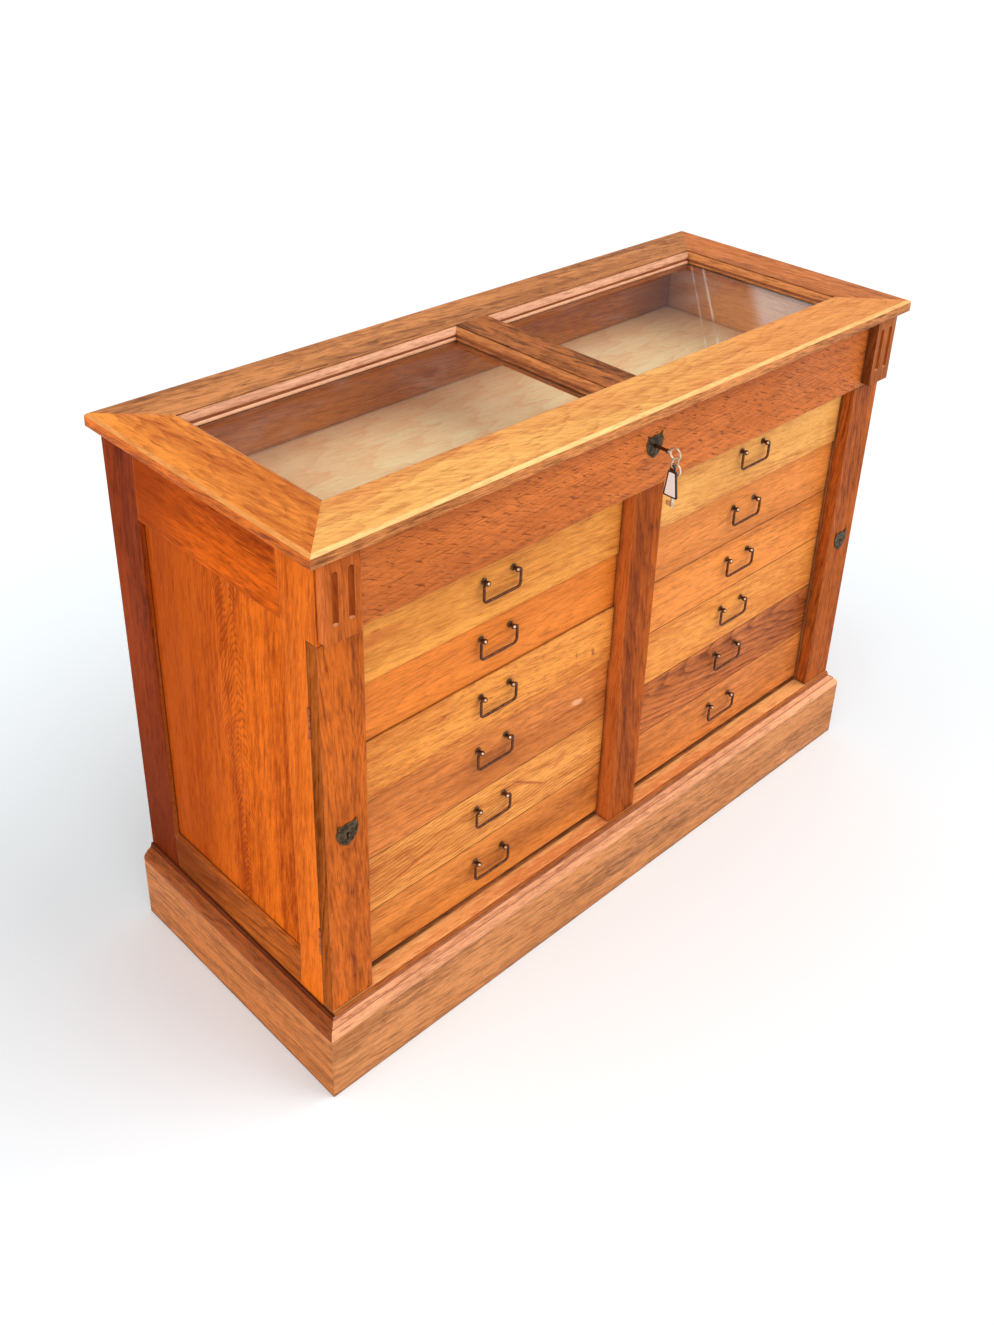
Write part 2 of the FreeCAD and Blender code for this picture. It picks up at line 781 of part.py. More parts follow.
def make_glazing():
    web_half = muntin_width / 2 - glass_rebate
    margin = glass_rebate - glass_edge_clearance
    pane = block(web_half + glass_edge_clearance, opening_half + margin,
                 opening_front - margin, opening_back + margin, glass_under, glass_top)
    save("glass_panes", [pane, mirrored(pane)])

    beads = mitred_strips(muntin_width / 2, opening_half, opening_front, opening_back, bead_width,
                          lambda start, inward: bead_face(start + Vector(0, 0, glass_top), inward))
    slip_height = glass_under - lid_drop_under
    slip_width = glass_rebate + bead_width - bead_small_width

    def slip_face(start, inward):
        foot = start + Vector(0, 0, lid_drop_under)
        rise = Vector(0, 0, slip_height)
        across = inward * slip_width
        points = [foot, foot + across, foot + across + rise, foot + rise]
        return Part.Face(Part.makePolygon(points + points[:1]))

    slips = mitred_strips(web_half, opening_half + glass_rebate, opening_front - glass_rebate,
                          opening_back + glass_rebate, slip_width, slip_face)
    strips = beads + slips
    save("glazing_beads", strips + [mirrored(strip) for strip in strips])


# Locking stiles with their furniture
def shield(x, z, face_y):
    half = shield_width / 2
    top = shield_height - shield_foot_drop

    def at(across, up):
        return Vector(x + across, face_y, z + up)

    edges = []
    for sign in (1, -1):
        foot = at(0, -shield_foot_drop)
        cheek = at(sign * shield_cheek_half, -shield_cheek_drop)
        shoulder = at(sign * half, shield_shoulder_rise)
        waist = at(sign * shield_waist_half, shield_waist_rise)
        horn = at(sign * shield_horn_half, top)
        dip = at(sign * shield_dip_half, top - shield_dip)
        edges.append(arc(foot, cheek, shoulder))
        edges.append(arc(shoulder, waist, horn))
        edges.append(arc(horn, dip, at(0, top - shield_peak_drop)))
    wire = Part.Wire(Part.__sortEdges__(edges))
    plate = Part.Face(wire).extrude(Vector(0, -shield_thickness, 0))
    return plate.cut(keyhole(x, z, face_y - shield_thickness, face_y))


def make_locking_stile(side_name, x_side, hinges):
    x_near = x_side * stile_inner
    x_far = x_side * case_half
    board = block(min(x_near, x_far), max(x_near, x_far), case_front, stile_back, stile_foot, stile_top)
    x = (x_near + x_far) / 2
    z = (stile_foot + stile_top) / 2
    half = stile_lock_width / 2
    face_y = stile_back - stile_lock_depth
    lock_z0 = z - stile_lock_height / 2
    lock = block(x - half, x + half, face_y, stile_back, lock_z0, lock_z0 + stile_lock_height)
    hole = keyhole(x, z, case_front, face_y)
    board = board.cut([lock, hole] + reliefs(hinges) + moving_metal(hinges))
    save(side_name + "_locking_stile", [board])
    save(side_name + "_stile_furniture", [shield(x, z, case_front), lock] + moving_metal(hinges))


# Lid lock with its bolt, key, ring and tag
key_z = case_top - key_height_below_case_top
bow_near_y = case_front - key_shank_out
bow_y = bow_near_y - key_bow_radius
ring_pivot_z = key_z - key_bow_radius
ring_centre_z = ring_pivot_z + key_bow_wire + ring_play - ring_inner_radius
ring_middle_radius = ring_inner_radius + ring_wall / 2
tag_pivot_z = ring_centre_z - math.sqrt(ring_middle_radius ** 2 - tag_offset ** 2)


def make_lid_lock():
    y0, y1, z0, z1 = lock_place()
    half = lid_lock_width / 2
    shell = block(-half, half, y0, y1, z0, z1)
    cavity = block(lock_wall - half, half - lock_wall, y0 + lock_wall, y1 - lock_wall,
                   z0 + lock_wall, z1 - lock_top_plate)
    middle_y = (y0 + y1) / 2
    bolt_half = bolt_width / 2
    half_thick = bolt_thickness / 2
    room = bolt_clearance
    slot = block(-bolt_half - room, bolt_half + room, middle_y - half_thick - room,
                 middle_y + half_thick + room, z1 - lock_top_plate, z1)
    shell = shell.cut([cavity, slot, keyhole(0, key_z, y0, y0 + lock_wall)])
    save("lid_lock", [shell, shield(0, key_z, case_front)])
    bolt_foot = key_z + key_bit_drop + bolt_above_bit
    bolt = block(-bolt_half, bolt_half, middle_y - half_thick, middle_y + half_thick, bolt_foot, z1)
    save("lid_lock_bolt", [bolt])


def make_key(bow_centre, along, bit_way, tip_distance, bit_start):
    # The bow is a ring in the plane of the shank and the bit.
    across = along.cross(bit_way)
    bow = Part.makeTorus(key_bow_radius, key_bow_wire, bow_centre, across)
    root = bow_centre + along * key_bow_radius
    shank = Part.makeCylinder(key_shank_radius, tip_distance - key_bow_radius, root, along)
    collar_root = root + along * key_collar_width
    collar = Part.makeCylinder(key_collar_radius, key_collar_width, collar_root, along)
    bit_root = bow_centre + along * bit_start - across * (key_bit_thickness / 2)
    corners = [bit_root, bit_root + along * key_bit_width,
               bit_root + along * key_bit_width + bit_way * key_bit_drop,
               bit_root + bit_way * key_bit_drop]
    bit = Part.Face(Part.makePolygon(corners + corners[:1])).extrude(across * key_bit_thickness)
    return bow.fuse([shank, collar, bit]).removeSplitter()


def make_keys():
    y0, y1, z0, z1 = lock_place()
    tip_y = y1 - lock_wall - key_tip_gap
    tip_distance = tip_y - bow_y
    bit_start = tip_distance - key_bit_width
    key = make_key(Vector(0, bow_y, key_z), Vector(0, 1, 0), Vector(0, 0, -1), tip_distance, bit_start)
    save("key", [key])

    outer = ring_inner_radius + ring_wall
    centre = (0, bow_y - ring_width / 2, ring_centre_z)
    far = (0, bow_y + ring_width / 2, ring_centre_z)
    ring = rod(outer, centre, far).cut(rod(ring_inner_radius, centre, far))
    drop = math.sqrt((ring_inner_radius - ring_play) ** 2 - spare_key_offset ** 2)
    spare_top = ring_centre_z - drop + key_bow_wire + ring_play
    spare_centre = Vector(spare_key_offset, bow_y, spare_top - key_bow_radius)
    spare_tip = key_length - key_bow_radius - key_bow_wire
    spare = make_key(spare_centre, Vector(0, 0, -1), Vector(0, 1, 0), spare_tip, spare_tip - key_bit_width)
    save("key_ring", [ring, spare])

    x0 = tag_offset - tag_thickness / 2
    x1 = tag_offset + tag_thickness / 2
    shoulder = tag_pivot_z - tag_neck
    foot = shoulder - tag_length
    outline = [(bow_y - tag_top_width / 2, shoulder), (bow_y + tag_top_width / 2, shoulder),
               (bow_y + tag_bottom_width / 2, foot), (bow_y - tag_bottom_width / 2, foot)]
    body = side_prism(outline, x0, x1)
    upright = [edge for edge in body.Edges if edge.BoundBox.XLength > tag_thickness - tolerance]
    body = body.makeFillet(tag_corner_radius, upright)
    neck_half = tag_eye_radius + tag_eye_wall
    eye = rod(neck_half, (x0, bow_y, tag_pivot_z), (x1, bow_y, tag_pivot_z))
    hole = rod(tag_eye_radius, (x0, bow_y, tag_pivot_z), (x1, bow_y, tag_pivot_z))
    neck = block(x0, x1, bow_y - neck_half, bow_y + neck_half, shoulder, tag_pivot_z)
    save("key_tag", [body.fuse([eye, neck]).cut(hole).removeSplitter()])


# Drawers: dovetailed sides, a bottom in grooves and a bail pull on each front
def drawer_solids(foot, height):
    x0 = drawer_inner_end
    x1 = drawer_outer_end
    front = block(x0, x1, drawer_plane, drawer_front_back, foot, foot + height)
    side_z0 = foot + drawer_side_rise
    side_z1 = side_z0 + drawer_side_height
    bottom_z0 = foot + drawer_bottom_rise
    bottom_z1 = bottom_z0 + drawer_bottom_thickness
    side = block(x0, x0 + drawer_side_thickness, drawer_front_back, drawer_back, side_z0, side_z1)
    spacing = drawer_side_height / dovetail_count
    for tail in range(dovetail_count):
        middle = side_z0 + (tail + 0.5) * spacing
        root = dovetail_width / 2 - dovetail_flare
        tip = dovetail_width / 2
        outline = [(drawer_front_back, middle - root), (drawer_front_back - dovetail_depth, middle - tip),
                   (drawer_front_back - dovetail_depth, middle + tip), (drawer_front_back, middle + root)]
        side = side.fuse(side_prism(outline, x0, x0 + drawer_side_thickness))
    side = side.removeSplitter()
    groove_depth = runner_reach + runner_end_clearance
    groove_half = runner_height / 2 + runner_clearance
    runner_z = foot + runner_rise
    groove = block(x0, x0 + groove_depth, drawer_front_back, drawer_back,
                   runner_z - groove_half, runner_z + groove_half)
    side = side.cut(groove)
    twist = x0 + x1
    far_side = mirrored(side)
    far_side.translate(Vector(twist, 0, 0))
    reach = drawer_side_thickness - drawer_bottom_groove
    bottom = block(x0 + reach, x1 - reach, drawer_front_back - drawer_bottom_groove,
                   drawer_back, bottom_z0, bottom_z1)
    back = block(x0 + drawer_side_thickness, x1 - drawer_side_thickness,
                 drawer_back - drawer_back_thickness, drawer_back, bottom_z1, side_z1)
    front = front.cut([side, far_side, bottom])
    side = side.cut(bottom)
    far_side = far_side.cut(bottom)
    return [front, side, far_side, back, bottom]


def pull_posts(x, z):
    posts = []
    nuts = []
    ball_y = drawer_plane - pull_standoff
    for sign in (-1, 1):
        px = x + sign * pull_post_spacing / 2
        rose = rod(rose_radius, (px, drawer_plane, z), (px, drawer_plane - rose_thickness, z))
        stem = rod(stem_radius, (px, drawer_plane, z), (px, ball_y, z))
        ball = Part.makeSphere(post_ball_radius, Vector(px, ball_y, z))
        spigot = rod(spigot_radius, (px, drawer_plane, z), (px, drawer_front_back + nut_thickness, z))
        bore_radius = bail_wire_radius + bail_clearance
        bore_end = px - sign * (bail_end_inset + bail_end_gap)
        bore = rod(bore_radius, (bore_end, ball_y, z), (px + sign * post_ball_radius, ball_y, z))
        posts.append(rose.fuse([stem, ball, spigot]).cut(bore).removeSplitter())
        nut = rod(nut_radius, (px, drawer_front_back, z), (px, drawer_front_back + nut_thickness, z))
        nuts.append(nut.cut(rod(spigot_radius, (px, drawer_front_back, z),
                                (px, drawer_front_back + nut_thickness, z))))
    return posts + nuts


def bail(x, z):
    y = drawer_plane - pull_standoff
    leg = bail_width / 2
    end = pull_post_spacing / 2 - bail_end_inset
    top = bail_top_bend
    low = bail_bottom_bend
    turn = 1 - math.sqrt(0.5)

    def at(across, up):
        return Vector(x + across, y, z + up)

    edges = [line(at(-end, 0), at(top - leg, 0))]
    edges.append(arc(at(top - leg, 0), at(top * turn - leg, -top * turn), at(-leg, -top)))
    edges.append(line(at(-leg, -top), at(-leg, low - bail_drop)))
    edges.append(arc(at(-leg, low - bail_drop), at(low * turn - leg, low * turn - bail_drop),
                     at(low - leg, -bail_drop)))
    edges.append(line(at(low - leg, -bail_drop), at(leg - low, -bail_drop)))
    edges.append(arc(at(leg - low, -bail_drop), at(leg - low * turn, low * turn - bail_drop),
                     at(leg, low - bail_drop)))
    edges.append(line(at(leg, low - bail_drop), at(leg, -top)))
    edges.append(arc(at(leg, -top), at(leg - top * turn, -top * turn), at(leg - top, 0)))
    edges.append(line(at(leg - top, 0), at(end, 0)))
    section = Part.Wire([Part.Circle(at(-end, 0), Vector(1, 0, 0), bail_wire_radius).toShape()])
    return Part.Wire(edges).makePipeShell([section], True, False)


def make_drawers():
    for bank, x_side in (("left", -1), ("right", 1)):
        for row in range(1, drawer_rows + 1):
            foot = drawer_foot(bank, row)
            z = foot + pull_heights_in_drawer[bank][row - 1]
            solids = drawer_solids(foot, drawer_pitch(bank, row) - drawer_gap)
            if x_side < 0:
                solids = [mirrored(solid) for solid in solids]
            posts = pull_posts(x_side * pull_centre, z)
            solids[0] = solids[0].cut(posts)
            groups = {"drawer": solids, "pull_posts": posts, "bail": [bail(x_side * pull_centre, z)]}
            shift = Vector(0, -proud_by if row in drawers_standing_proud[bank] else 0, 0)
            for kind, pieces in groups.items():
                for piece in pieces:
                    piece.translate(shift)
                save(bank + "_" + kind + "_" + str(row), pieces)


os.makedirs("parts", exist_ok=True)
left_hinges = stile_hinges(-1)
right_hinges = stile_hinges(1)
back_hinges = lid_hinges()
make_plinth()
make_bottom_board()
make_sides(left_hinges, right_hinges)
make_back(back_hinges)
make_frieze()
make_runner_frames()
make_display_floor()
make_lid(back_hinges)
make_glazing()
make_locking_stile("left", -1, left_hinges)
make_locking_stile("right", 1, right_hinges)
save("case_hinge_leaves", fixed_metal(left_hinges + right_hinges + back_hinges))
make_lid_lock()
make_keys()
make_drawers()
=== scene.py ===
import math

import bmesh
import bpy
from mathutils import Matrix, Vector


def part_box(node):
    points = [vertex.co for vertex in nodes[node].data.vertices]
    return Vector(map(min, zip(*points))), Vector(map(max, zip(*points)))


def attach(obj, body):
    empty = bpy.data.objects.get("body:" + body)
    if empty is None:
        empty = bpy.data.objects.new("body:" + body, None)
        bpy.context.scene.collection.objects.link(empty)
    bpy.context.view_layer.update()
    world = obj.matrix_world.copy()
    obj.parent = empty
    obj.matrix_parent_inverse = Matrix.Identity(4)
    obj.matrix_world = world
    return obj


# Shop display cabinet. Metres, in the CAD part's frame: X right, Y back, Z up.

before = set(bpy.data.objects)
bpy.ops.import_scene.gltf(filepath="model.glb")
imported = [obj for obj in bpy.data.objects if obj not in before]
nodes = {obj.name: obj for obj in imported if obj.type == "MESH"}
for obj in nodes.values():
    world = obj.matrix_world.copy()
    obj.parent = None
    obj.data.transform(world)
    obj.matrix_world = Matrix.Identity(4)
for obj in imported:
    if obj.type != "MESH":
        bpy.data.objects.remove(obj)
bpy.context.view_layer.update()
scene = bpy.context.scene

# Places taken from the CAD part
LID_HALF = 0.660
LID_FRONT, LID_BACK = -0.260, 0.260
LID_ARRIS = 0.9515
LID_RAILS = {"front": 0.098, "back": 0.089, "end": 0.092}
OPENING_FRONT, OPENING_BACK, OPENING_END, MUNTIN_HALF = -0.162, 0.171, 0.568, 0.0335
GLASS_TOP = 0.9358
BEAD_LIP, BEAD_QUIRK = 0.0109, 0.0042
CASE_FRONT = -0.234
BLOCK_FRONT, BLOCK_FOOT, FLUTE_FLOOR = -0.2515, 0.812, 0.006
SIDE_STILE_BACK, SIDE_BACK_STILE = -0.1565, 0.179
DISPLAY_FLOOR = 0.81
BACK_TOP_RAIL, BACK_BOTTOM_RAIL = 0.795, 0.2385
BOARD_TOP = 0.1525
PLINTH_TOP = 0.119
MOULDING_HALF, MOULDING_FRONT = 0.6378, -0.2378
PLINTH_HALF, PLINTH_FRONT = 0.658, -0.254
PLINTH_FRONT_BACK, PLINTH_BACK_FRONT, PLINTH_SIDE = -0.2278, 0.2338, 0.6
FILLET_FOOT, FILLET_TOP, MOULDING_CROWN = 0.1335, 0.1352, 0.1402
DRAWER_FRONT_BACK = -0.1846
BALL_START = -0.2165
BALL_CROWN = Vector((-0.45, -0.80, 0.40))
HINGE_LEAF = 0.6195
SHIELDS = {"case": (0.0, 0.876), "left_stile": (-0.601, 0.47825), "right_stile": (0.601, 0.47825)}
SHIELD_THICKNESS = 0.0016
SHIELD_PINS = ((-0.0135, 0.0135), (0.0135, 0.0135), (0.0, -0.0175))
PIN_RADIUS, PIN_DOME = 0.00155, 0.55
KEY_BOW, KEY_SHANK_FOOT = -0.2625, 0.86


# Node trees
class Tree:
    """Adds nodes to a node tree and links them in one step."""

    def __init__(self, tree):
        self.tree = tree

    def add(self, kind, inputs=None, **settings):
        node = self.tree.nodes.new(kind)
        for name, value in settings.items():
            setattr(node, name, value)
        for name, value in (inputs or {}).items():
            self.feed(node.inputs[name], value)
        return node

    def feed(self, socket, value):
        if isinstance(value, bpy.types.NodeSocket):
            self.tree.links.new(value, socket)
        else:
            socket.default_value = value

    def math(self, operation, *values, clamp=False):
        node = self.add("ShaderNodeMath", operation=operation, use_clamp=clamp)
        for place, value in enumerate(values):
            self.feed(node.inputs[place], value)
        return node.outputs[0]

    def hypotenuse(self, first, second):
        squares = [self.math("MULTIPLY", side, side) for side in (first, second)]
        return self.math("SQRT", self.math("ADD", *squares))

    def vector(self, operation, *values):
        node = self.add("ShaderNodeVectorMath", operation=operation)
        for place, value in enumerate(values):
            self.feed(node.inputs[place], value)
        return node.outputs[0]

    def noise(self, vector, scale, detail=2.0, roughness=0.5, distortion=0.0):
        stretched = self.vector("MULTIPLY", vector, scale)
        node = self.add("ShaderNodeTexNoise", {"Vector": stretched, "Scale": 1.0, "Detail": detail,
                                               "Roughness": roughness, "Distortion": distortion})
        return node.outputs["Fac"]

    def ramp(self, value, low, high, to_low=0.0, to_high=1.0):
        node = self.add("ShaderNodeMapRange", {"Value": value, "From Min": low, "From Max": high,
                                               "To Min": to_low, "To Max": to_high})
        node.interpolation_type = "SMOOTHSTEP"
        return node.outputs["Result"]

    def mix(self, share, first, second, blend="MIX"):
        node = self.add("ShaderNodeMix", data_type="RGBA", blend_type=blend)
        self.feed(node.inputs[0], share)
        self.feed(node.inputs[6], first)
        self.feed(node.inputs[7], second)
        return node.outputs[2]


def colour(red, green, blue):
    """A colour written as screen values from 0 to 255, as Blender's linear colour."""
    def linear(value):
        value /= 255.0
        return value / 12.92 if value <= 0.04045 else ((value + 0.055) / 1.055) ** 2.4
    return (linear(red), linear(green), linear(blue), 1.0)


def new_material(name):
    material = bpy.data.materials.new(name)
    material.use_nodes = True
    material.node_tree.nodes.clear()
    return material, Tree(material.node_tree)


# Oak: growth rings as cones round a heart beside the board, open pores, ray flecks and streaks
def oak_group():
    tree = bpy.data.node_groups.new("oak_figure", "ShaderNodeTree")
    face = tree.interface
    face.new_socket("Board", in_out="INPUT", socket_type="NodeSocketVector")
    for name in ("Light", "Dark", "Flush"):
        face.new_socket(name, in_out="INPUT", socket_type="NodeSocketColor")
    for name in ("Seed", "Heart across", "Heart depth", "Taper", "Spacing", "Rings", "Streaks", "Mottle",
                 "Pores", "Flecks", "Slant", "Fade"):
        face.new_socket(name, in_out="INPUT", socket_type="NodeSocketFloat")
    face.new_socket("Color", in_out="OUTPUT", socket_type="NodeSocketColor")
    face.new_socket("Roughness", in_out="OUTPUT", socket_type="NodeSocketFloat")
    face.new_socket("Height", in_out="OUTPUT", socket_type="NodeSocketFloat")
    t = Tree(tree)
    given = t.add("NodeGroupInput").outputs
    seed = given["Seed"]
    shift = t.add("ShaderNodeCombineXYZ", {"X": t.math("MULTIPLY", seed, 1.37),
                                           "Y": t.math("MULTIPLY", seed, 0.731),
                                           "Z": t.math("MULTIPLY", seed, 0.419)}).outputs[0]
    place = t.vector("ADD", given["Board"], shift)
    parts = t.add("ShaderNodeSeparateXYZ", {"Vector": given["Board"]}).outputs
    drift = t.noise(place, (2.2, 9.0, 9.0), 2.0)
    wander = t.noise(place, (5.5, 26.0, 26.0), 2.0)
    across = t.math("SUBTRACT", parts[1], given["Heart across"])
    across = t.math("ADD", across, t.math("MULTIPLY", t.math("SUBTRACT", drift, 0.5), 0.05))
    depth = t.math("ADD", parts[2], given["Heart depth"])
    depth = t.math("ADD", depth, t.math("MULTIPLY", t.math("SUBTRACT", wander, 0.5), 0.012))
    radius = t.hypotenuse(across, depth)
    cone = t.math("SUBTRACT", radius, t.math("MULTIPLY", parts[0], given["Taper"]))
    turn = t.math("FRACT", t.math("ADD", t.math("DIVIDE", cone, given["Spacing"]),
                                  t.math("MULTIPLY", wander, 1.4)))
    early = t.math("POWER", t.math("SUBTRACT", 1.0, turn), 2.2)
    rise = t.ramp(turn, 0.0, 0.10)
    band = t.math("MULTIPLY", early, rise)

    streak = t.noise(place, (2.4, 95.0, 95.0), 3.0, 0.62)
    broad = t.noise(place, (1.6, 21.0, 21.0), 2.0)
    patch = t.noise(place, (3.4, 8.5, 8.5), 2.0, 0.55)
    pore_grain = t.noise(place, (42.0, 1150.0, 1150.0), 2.0, 0.6)
    pore_wide = t.noise(place, (20.0, 330.0, 330.0), 3.0, 0.62, 0.25)
    lean = t.math("MULTIPLY", parts[0], given["Slant"])
    leaning = t.vector("ADD", place, t.add("ShaderNodeCombineXYZ", {"Y": lean}).outputs[0])
    cloud = t.noise(leaning, (34.0, 130.0, 130.0), 3.0, 0.62, 0.2)
    line_grain = t.noise(leaning, (13.0, 260.0, 260.0), 2.0, 0.5, 0.15)
    fleck_grain = t.noise(leaning, (52.0, 300.0, 200.0), 2.0, 0.55, 0.3)
    pores = t.math("MAXIMUM", t.ramp(pore_grain, 0.56, 0.70), t.ramp(pore_wide, 0.56, 0.68))
    pores = t.math("MULTIPLY", pores, t.math("ADD", 0.5, t.math("MULTIPLY", band, 0.8)))
    flecks = t.math("MULTIPLY", t.ramp(fleck_grain, 0.58, 0.68), given["Flecks"])

    darkness = t.math("MULTIPLY", band, given["Rings"])
    uneven = t.math("MULTIPLY", t.math("SUBTRACT", streak, 0.5), t.math("MULTIPLY", given["Streaks"], 1.2))
    uneven = t.math("ADD", uneven, t.math("MULTIPLY", t.math("SUBTRACT", broad, 0.5),
                                          t.math("MULTIPLY", given["Streaks"], 1.9)))
    uneven = t.math("ADD", uneven, t.math("MULTIPLY", t.math("SUBTRACT", cloud, 0.5),
                                          t.math("MULTIPLY", given["Streaks"], 1.6)))
    uneven = t.math("ADD", uneven, t.math("MULTIPLY", t.ramp(line_grain, 0.48, 0.66, -0.06, 0.26),
                                          given["Streaks"]))
    darkness = t.math("ADD", t.math("ADD", darkness, uneven), 0.24, clamp=True)
    tone = t.mix(darkness, given["Light"], given["Dark"])
    flush = t.math("MULTIPLY", t.ramp(patch, 0.42, 0.66), given["Mottle"])
    tone = t.mix(flush, tone, given["Flush"])
    tone = t.mix(given["Fade"], tone, t.mix(t.math("MULTIPLY", darkness, 0.7), given["Flush"], given["Dark"]))
    deep = t.mix(0.62, given["Dark"], (0.05, 0.010, 0.002, 1.0))
    tone = t.mix(flecks, tone, deep)
    pore_share = t.math("MULTIPLY", pores, given["Pores"], clamp=True)
    tone = t.mix(pore_share, tone, deep)
    rough = t.math("ADD", t.math("MULTIPLY", pore_share, 0.25), t.ramp(patch, 0.3, 0.7, 0.40, 0.54))
    height = t.math("ADD", t.math("MULTIPLY", pores, -0.8), t.math("MULTIPLY", streak, 0.35))
    height = t.math("ADD", height, t.math("MULTIPLY", band, -0.25))
    t.add("NodeGroupOutput", {"Color": tone, "Roughness": rough, "Height": height})
    return tree


# Darkening in corners and creases from ambient occlusion, painted shade with grime, and lightening along
# arrises, painted highlight with wear; shared by wood and metal
def wear_highlight_and_shade_group():
    tree = bpy.data.node_groups.new("wear_highlight_and_shade", "ShaderNodeTree")
    face = tree.interface
    for name in ("Wear and highlight", "Grime and shade"):
        face.new_socket(name, in_out="OUTPUT", socket_type="NodeSocketFloat")
    face.new_socket("Normal", in_out="OUTPUT", socket_type="NodeSocketVector")
    t = Tree(tree)
    soft = t.add("ShaderNodeBevel", {"Radius": 0.0016}, samples=4).outputs["Normal"]
    geometry = t.add("ShaderNodeNewGeometry").outputs
    facing = t.add("ShaderNodeVectorMath", operation="DOT_PRODUCT")
    t.feed(facing.inputs[0], soft)
    t.feed(facing.inputs[1], geometry["Normal"])
    place = t.add("ShaderNodeTexCoord").outputs["Object"]
    rub = t.noise(place, (38.0, 38.0, 38.0), 3.0, 0.6)
    # Arrises, where the bevel normal turns away, lighten: painted highlight, with wear
    turned = t.ramp(facing.outputs["Value"], 0.995, 0.86)
    wear_and_highlight = t.math("MULTIPLY", turned, t.ramp(rub, 0.36, 0.62, 0.15, 1.0))
    # Ambient occlusion darkens corners and creases: painted shade, with grime
    shut = t.add("ShaderNodeAmbientOcclusion", {"Distance": 0.011}, samples=6).outputs["AO"]
    grime_and_shade = t.math("MULTIPLY", t.ramp(shut, 0.92, 0.35), t.ramp(rub, 0.25, 0.7, 0.7, 1.0))
    t.add("NodeGroupOutput", {"Wear and highlight": wear_and_highlight, "Grime and shade": grime_and_shade, "Normal": soft})
    return tree


OAK = oak_group()
WEAR_HIGHLIGHT_AND_SHADE = wear_highlight_and_shade_group()
# Along the grain, across it on the board's face, and into the board
GRAIN = {"X": ("X", "Z", "Y"), "XY": ("X", "Y", "Z"), "Y": ("Y", "Z", "X"), "YX": ("Y", "X", "Z"),
         "Z": ("Z", "X", "Y"), "ZY": ("Z", "Y", "X")}
seeds = iter(range(1, 400))


# Colours are light and dark wood and a flush for patches and for the fade. heart is the rings' centre, across
# the board and in its depth. fade is an axis, its start and end, and a strength. A mark is x, z, its two half
# widths, its turn, its colour and its strength.
def oak(name, grain, light, dark, flush=None, heart=(0.03, 0.09), taper=0.035, spacing=0.0042, rings=0.5,
        streaks=0.9, mottle=0.25, pores=0.5, flecks=0.2, slant=0.12, wear_and_highlight=0.35, grime_and_shade=0.75, coat=0.05,
        bump=0.5, fade=None, gloss=0.12, marks=()):
    material, t = new_material(name)
    place = t.add("ShaderNodeTexCoord").outputs["Object"]
    axes = t.add("ShaderNodeSeparateXYZ", {"Vector": place}).outputs
    along, across, depth = GRAIN[grain]
    board = t.add("ShaderNodeCombineXYZ", {"X": axes[along], "Y": axes[across], "Z": axes[depth]}).outputs[0]
    light = colour(*light)
    dark = colour(*dark)
    figure = t.add("ShaderNodeGroup", node_tree=OAK)
    values = {"Board": board, "Light": light, "Dark": dark, "Flush": colour(*flush) if flush else dark,
              "Seed": float(next(seeds)), "Heart across": heart[0], "Heart depth": heart[1], "Taper": taper,
              "Spacing": spacing, "Rings": rings, "Streaks": streaks, "Mottle": mottle, "Pores": pores,
              "Flecks": flecks, "Slant": slant}
    for socket, value in values.items():
        t.feed(figure.inputs[socket], value)
    if fade:
        t.feed(figure.inputs["Fade"], t.ramp(axes[fade[0]], fade[1], fade[2], 0.0, fade[3]))
    worn = t.add("ShaderNodeGroup", node_tree=WEAR_HIGHLIGHT_AND_SHADE).outputs
    # Arrises lighten towards a pale tone: painted highlight, with wear
    wear_highlight_tone = t.mix(0.5, light, (1.0, 0.72, 0.42, 1.0))
    grime_and_shade_tone = tuple(channel * 0.22 for channel in dark[:3]) + (1.0,)
    tone = t.mix(t.math("MULTIPLY", worn["Wear and highlight"], wear_and_highlight), figure.outputs["Color"], wear_highlight_tone)
    # Corners and creases darken towards a dark tone: painted shade, with grime
    tone = t.mix(t.math("MULTIPLY", worn["Grime and shade"], grime_and_shade), tone, grime_and_shade_tone)
    for x, z, half_long, half_short, turned, shade, strength in marks:
        lean = math.radians(turned)
        off_x = t.math("SUBTRACT", axes["X"], x)
        off_z = t.math("SUBTRACT", axes["Z"], z)
        long = t.math("ADD", t.math("MULTIPLY", off_x, math.cos(lean) / half_long),
                      t.math("MULTIPLY", off_z, math.sin(lean) / half_long))
        short = t.math("SUBTRACT", t.math("MULTIPLY", off_z, math.cos(lean) / half_short),
                       t.math("MULTIPLY", off_x, math.sin(lean) / half_short))
        rough_edge = t.noise(place, (60.0, 60.0, 160.0), 2.0, 0.5)
        reach = t.math("ADD", t.hypotenuse(long, short), t.math("SUBTRACT", rough_edge, 0.5))
        tone = t.mix(t.ramp(reach, 1.1, 0.5, 0.0, strength), tone, colour(*shade))
    relief = t.add("ShaderNodeBump", {"Strength": bump, "Distance": 0.0004,
                                      "Height": figure.outputs["Height"],
                                      "Normal": worn["Normal"]}).outputs[0]
    shader = t.add("ShaderNodeBsdfPrincipled", {"Base Color": tone, "Roughness": figure.outputs["Roughness"],
                                                "Normal": relief, "Coat Weight": coat, "Coat Roughness": 0.35,
                                                "Specular IOR Level": gloss})
    t.add("ShaderNodeOutputMaterial", {"Surface": shader.outputs[0]})
    return material


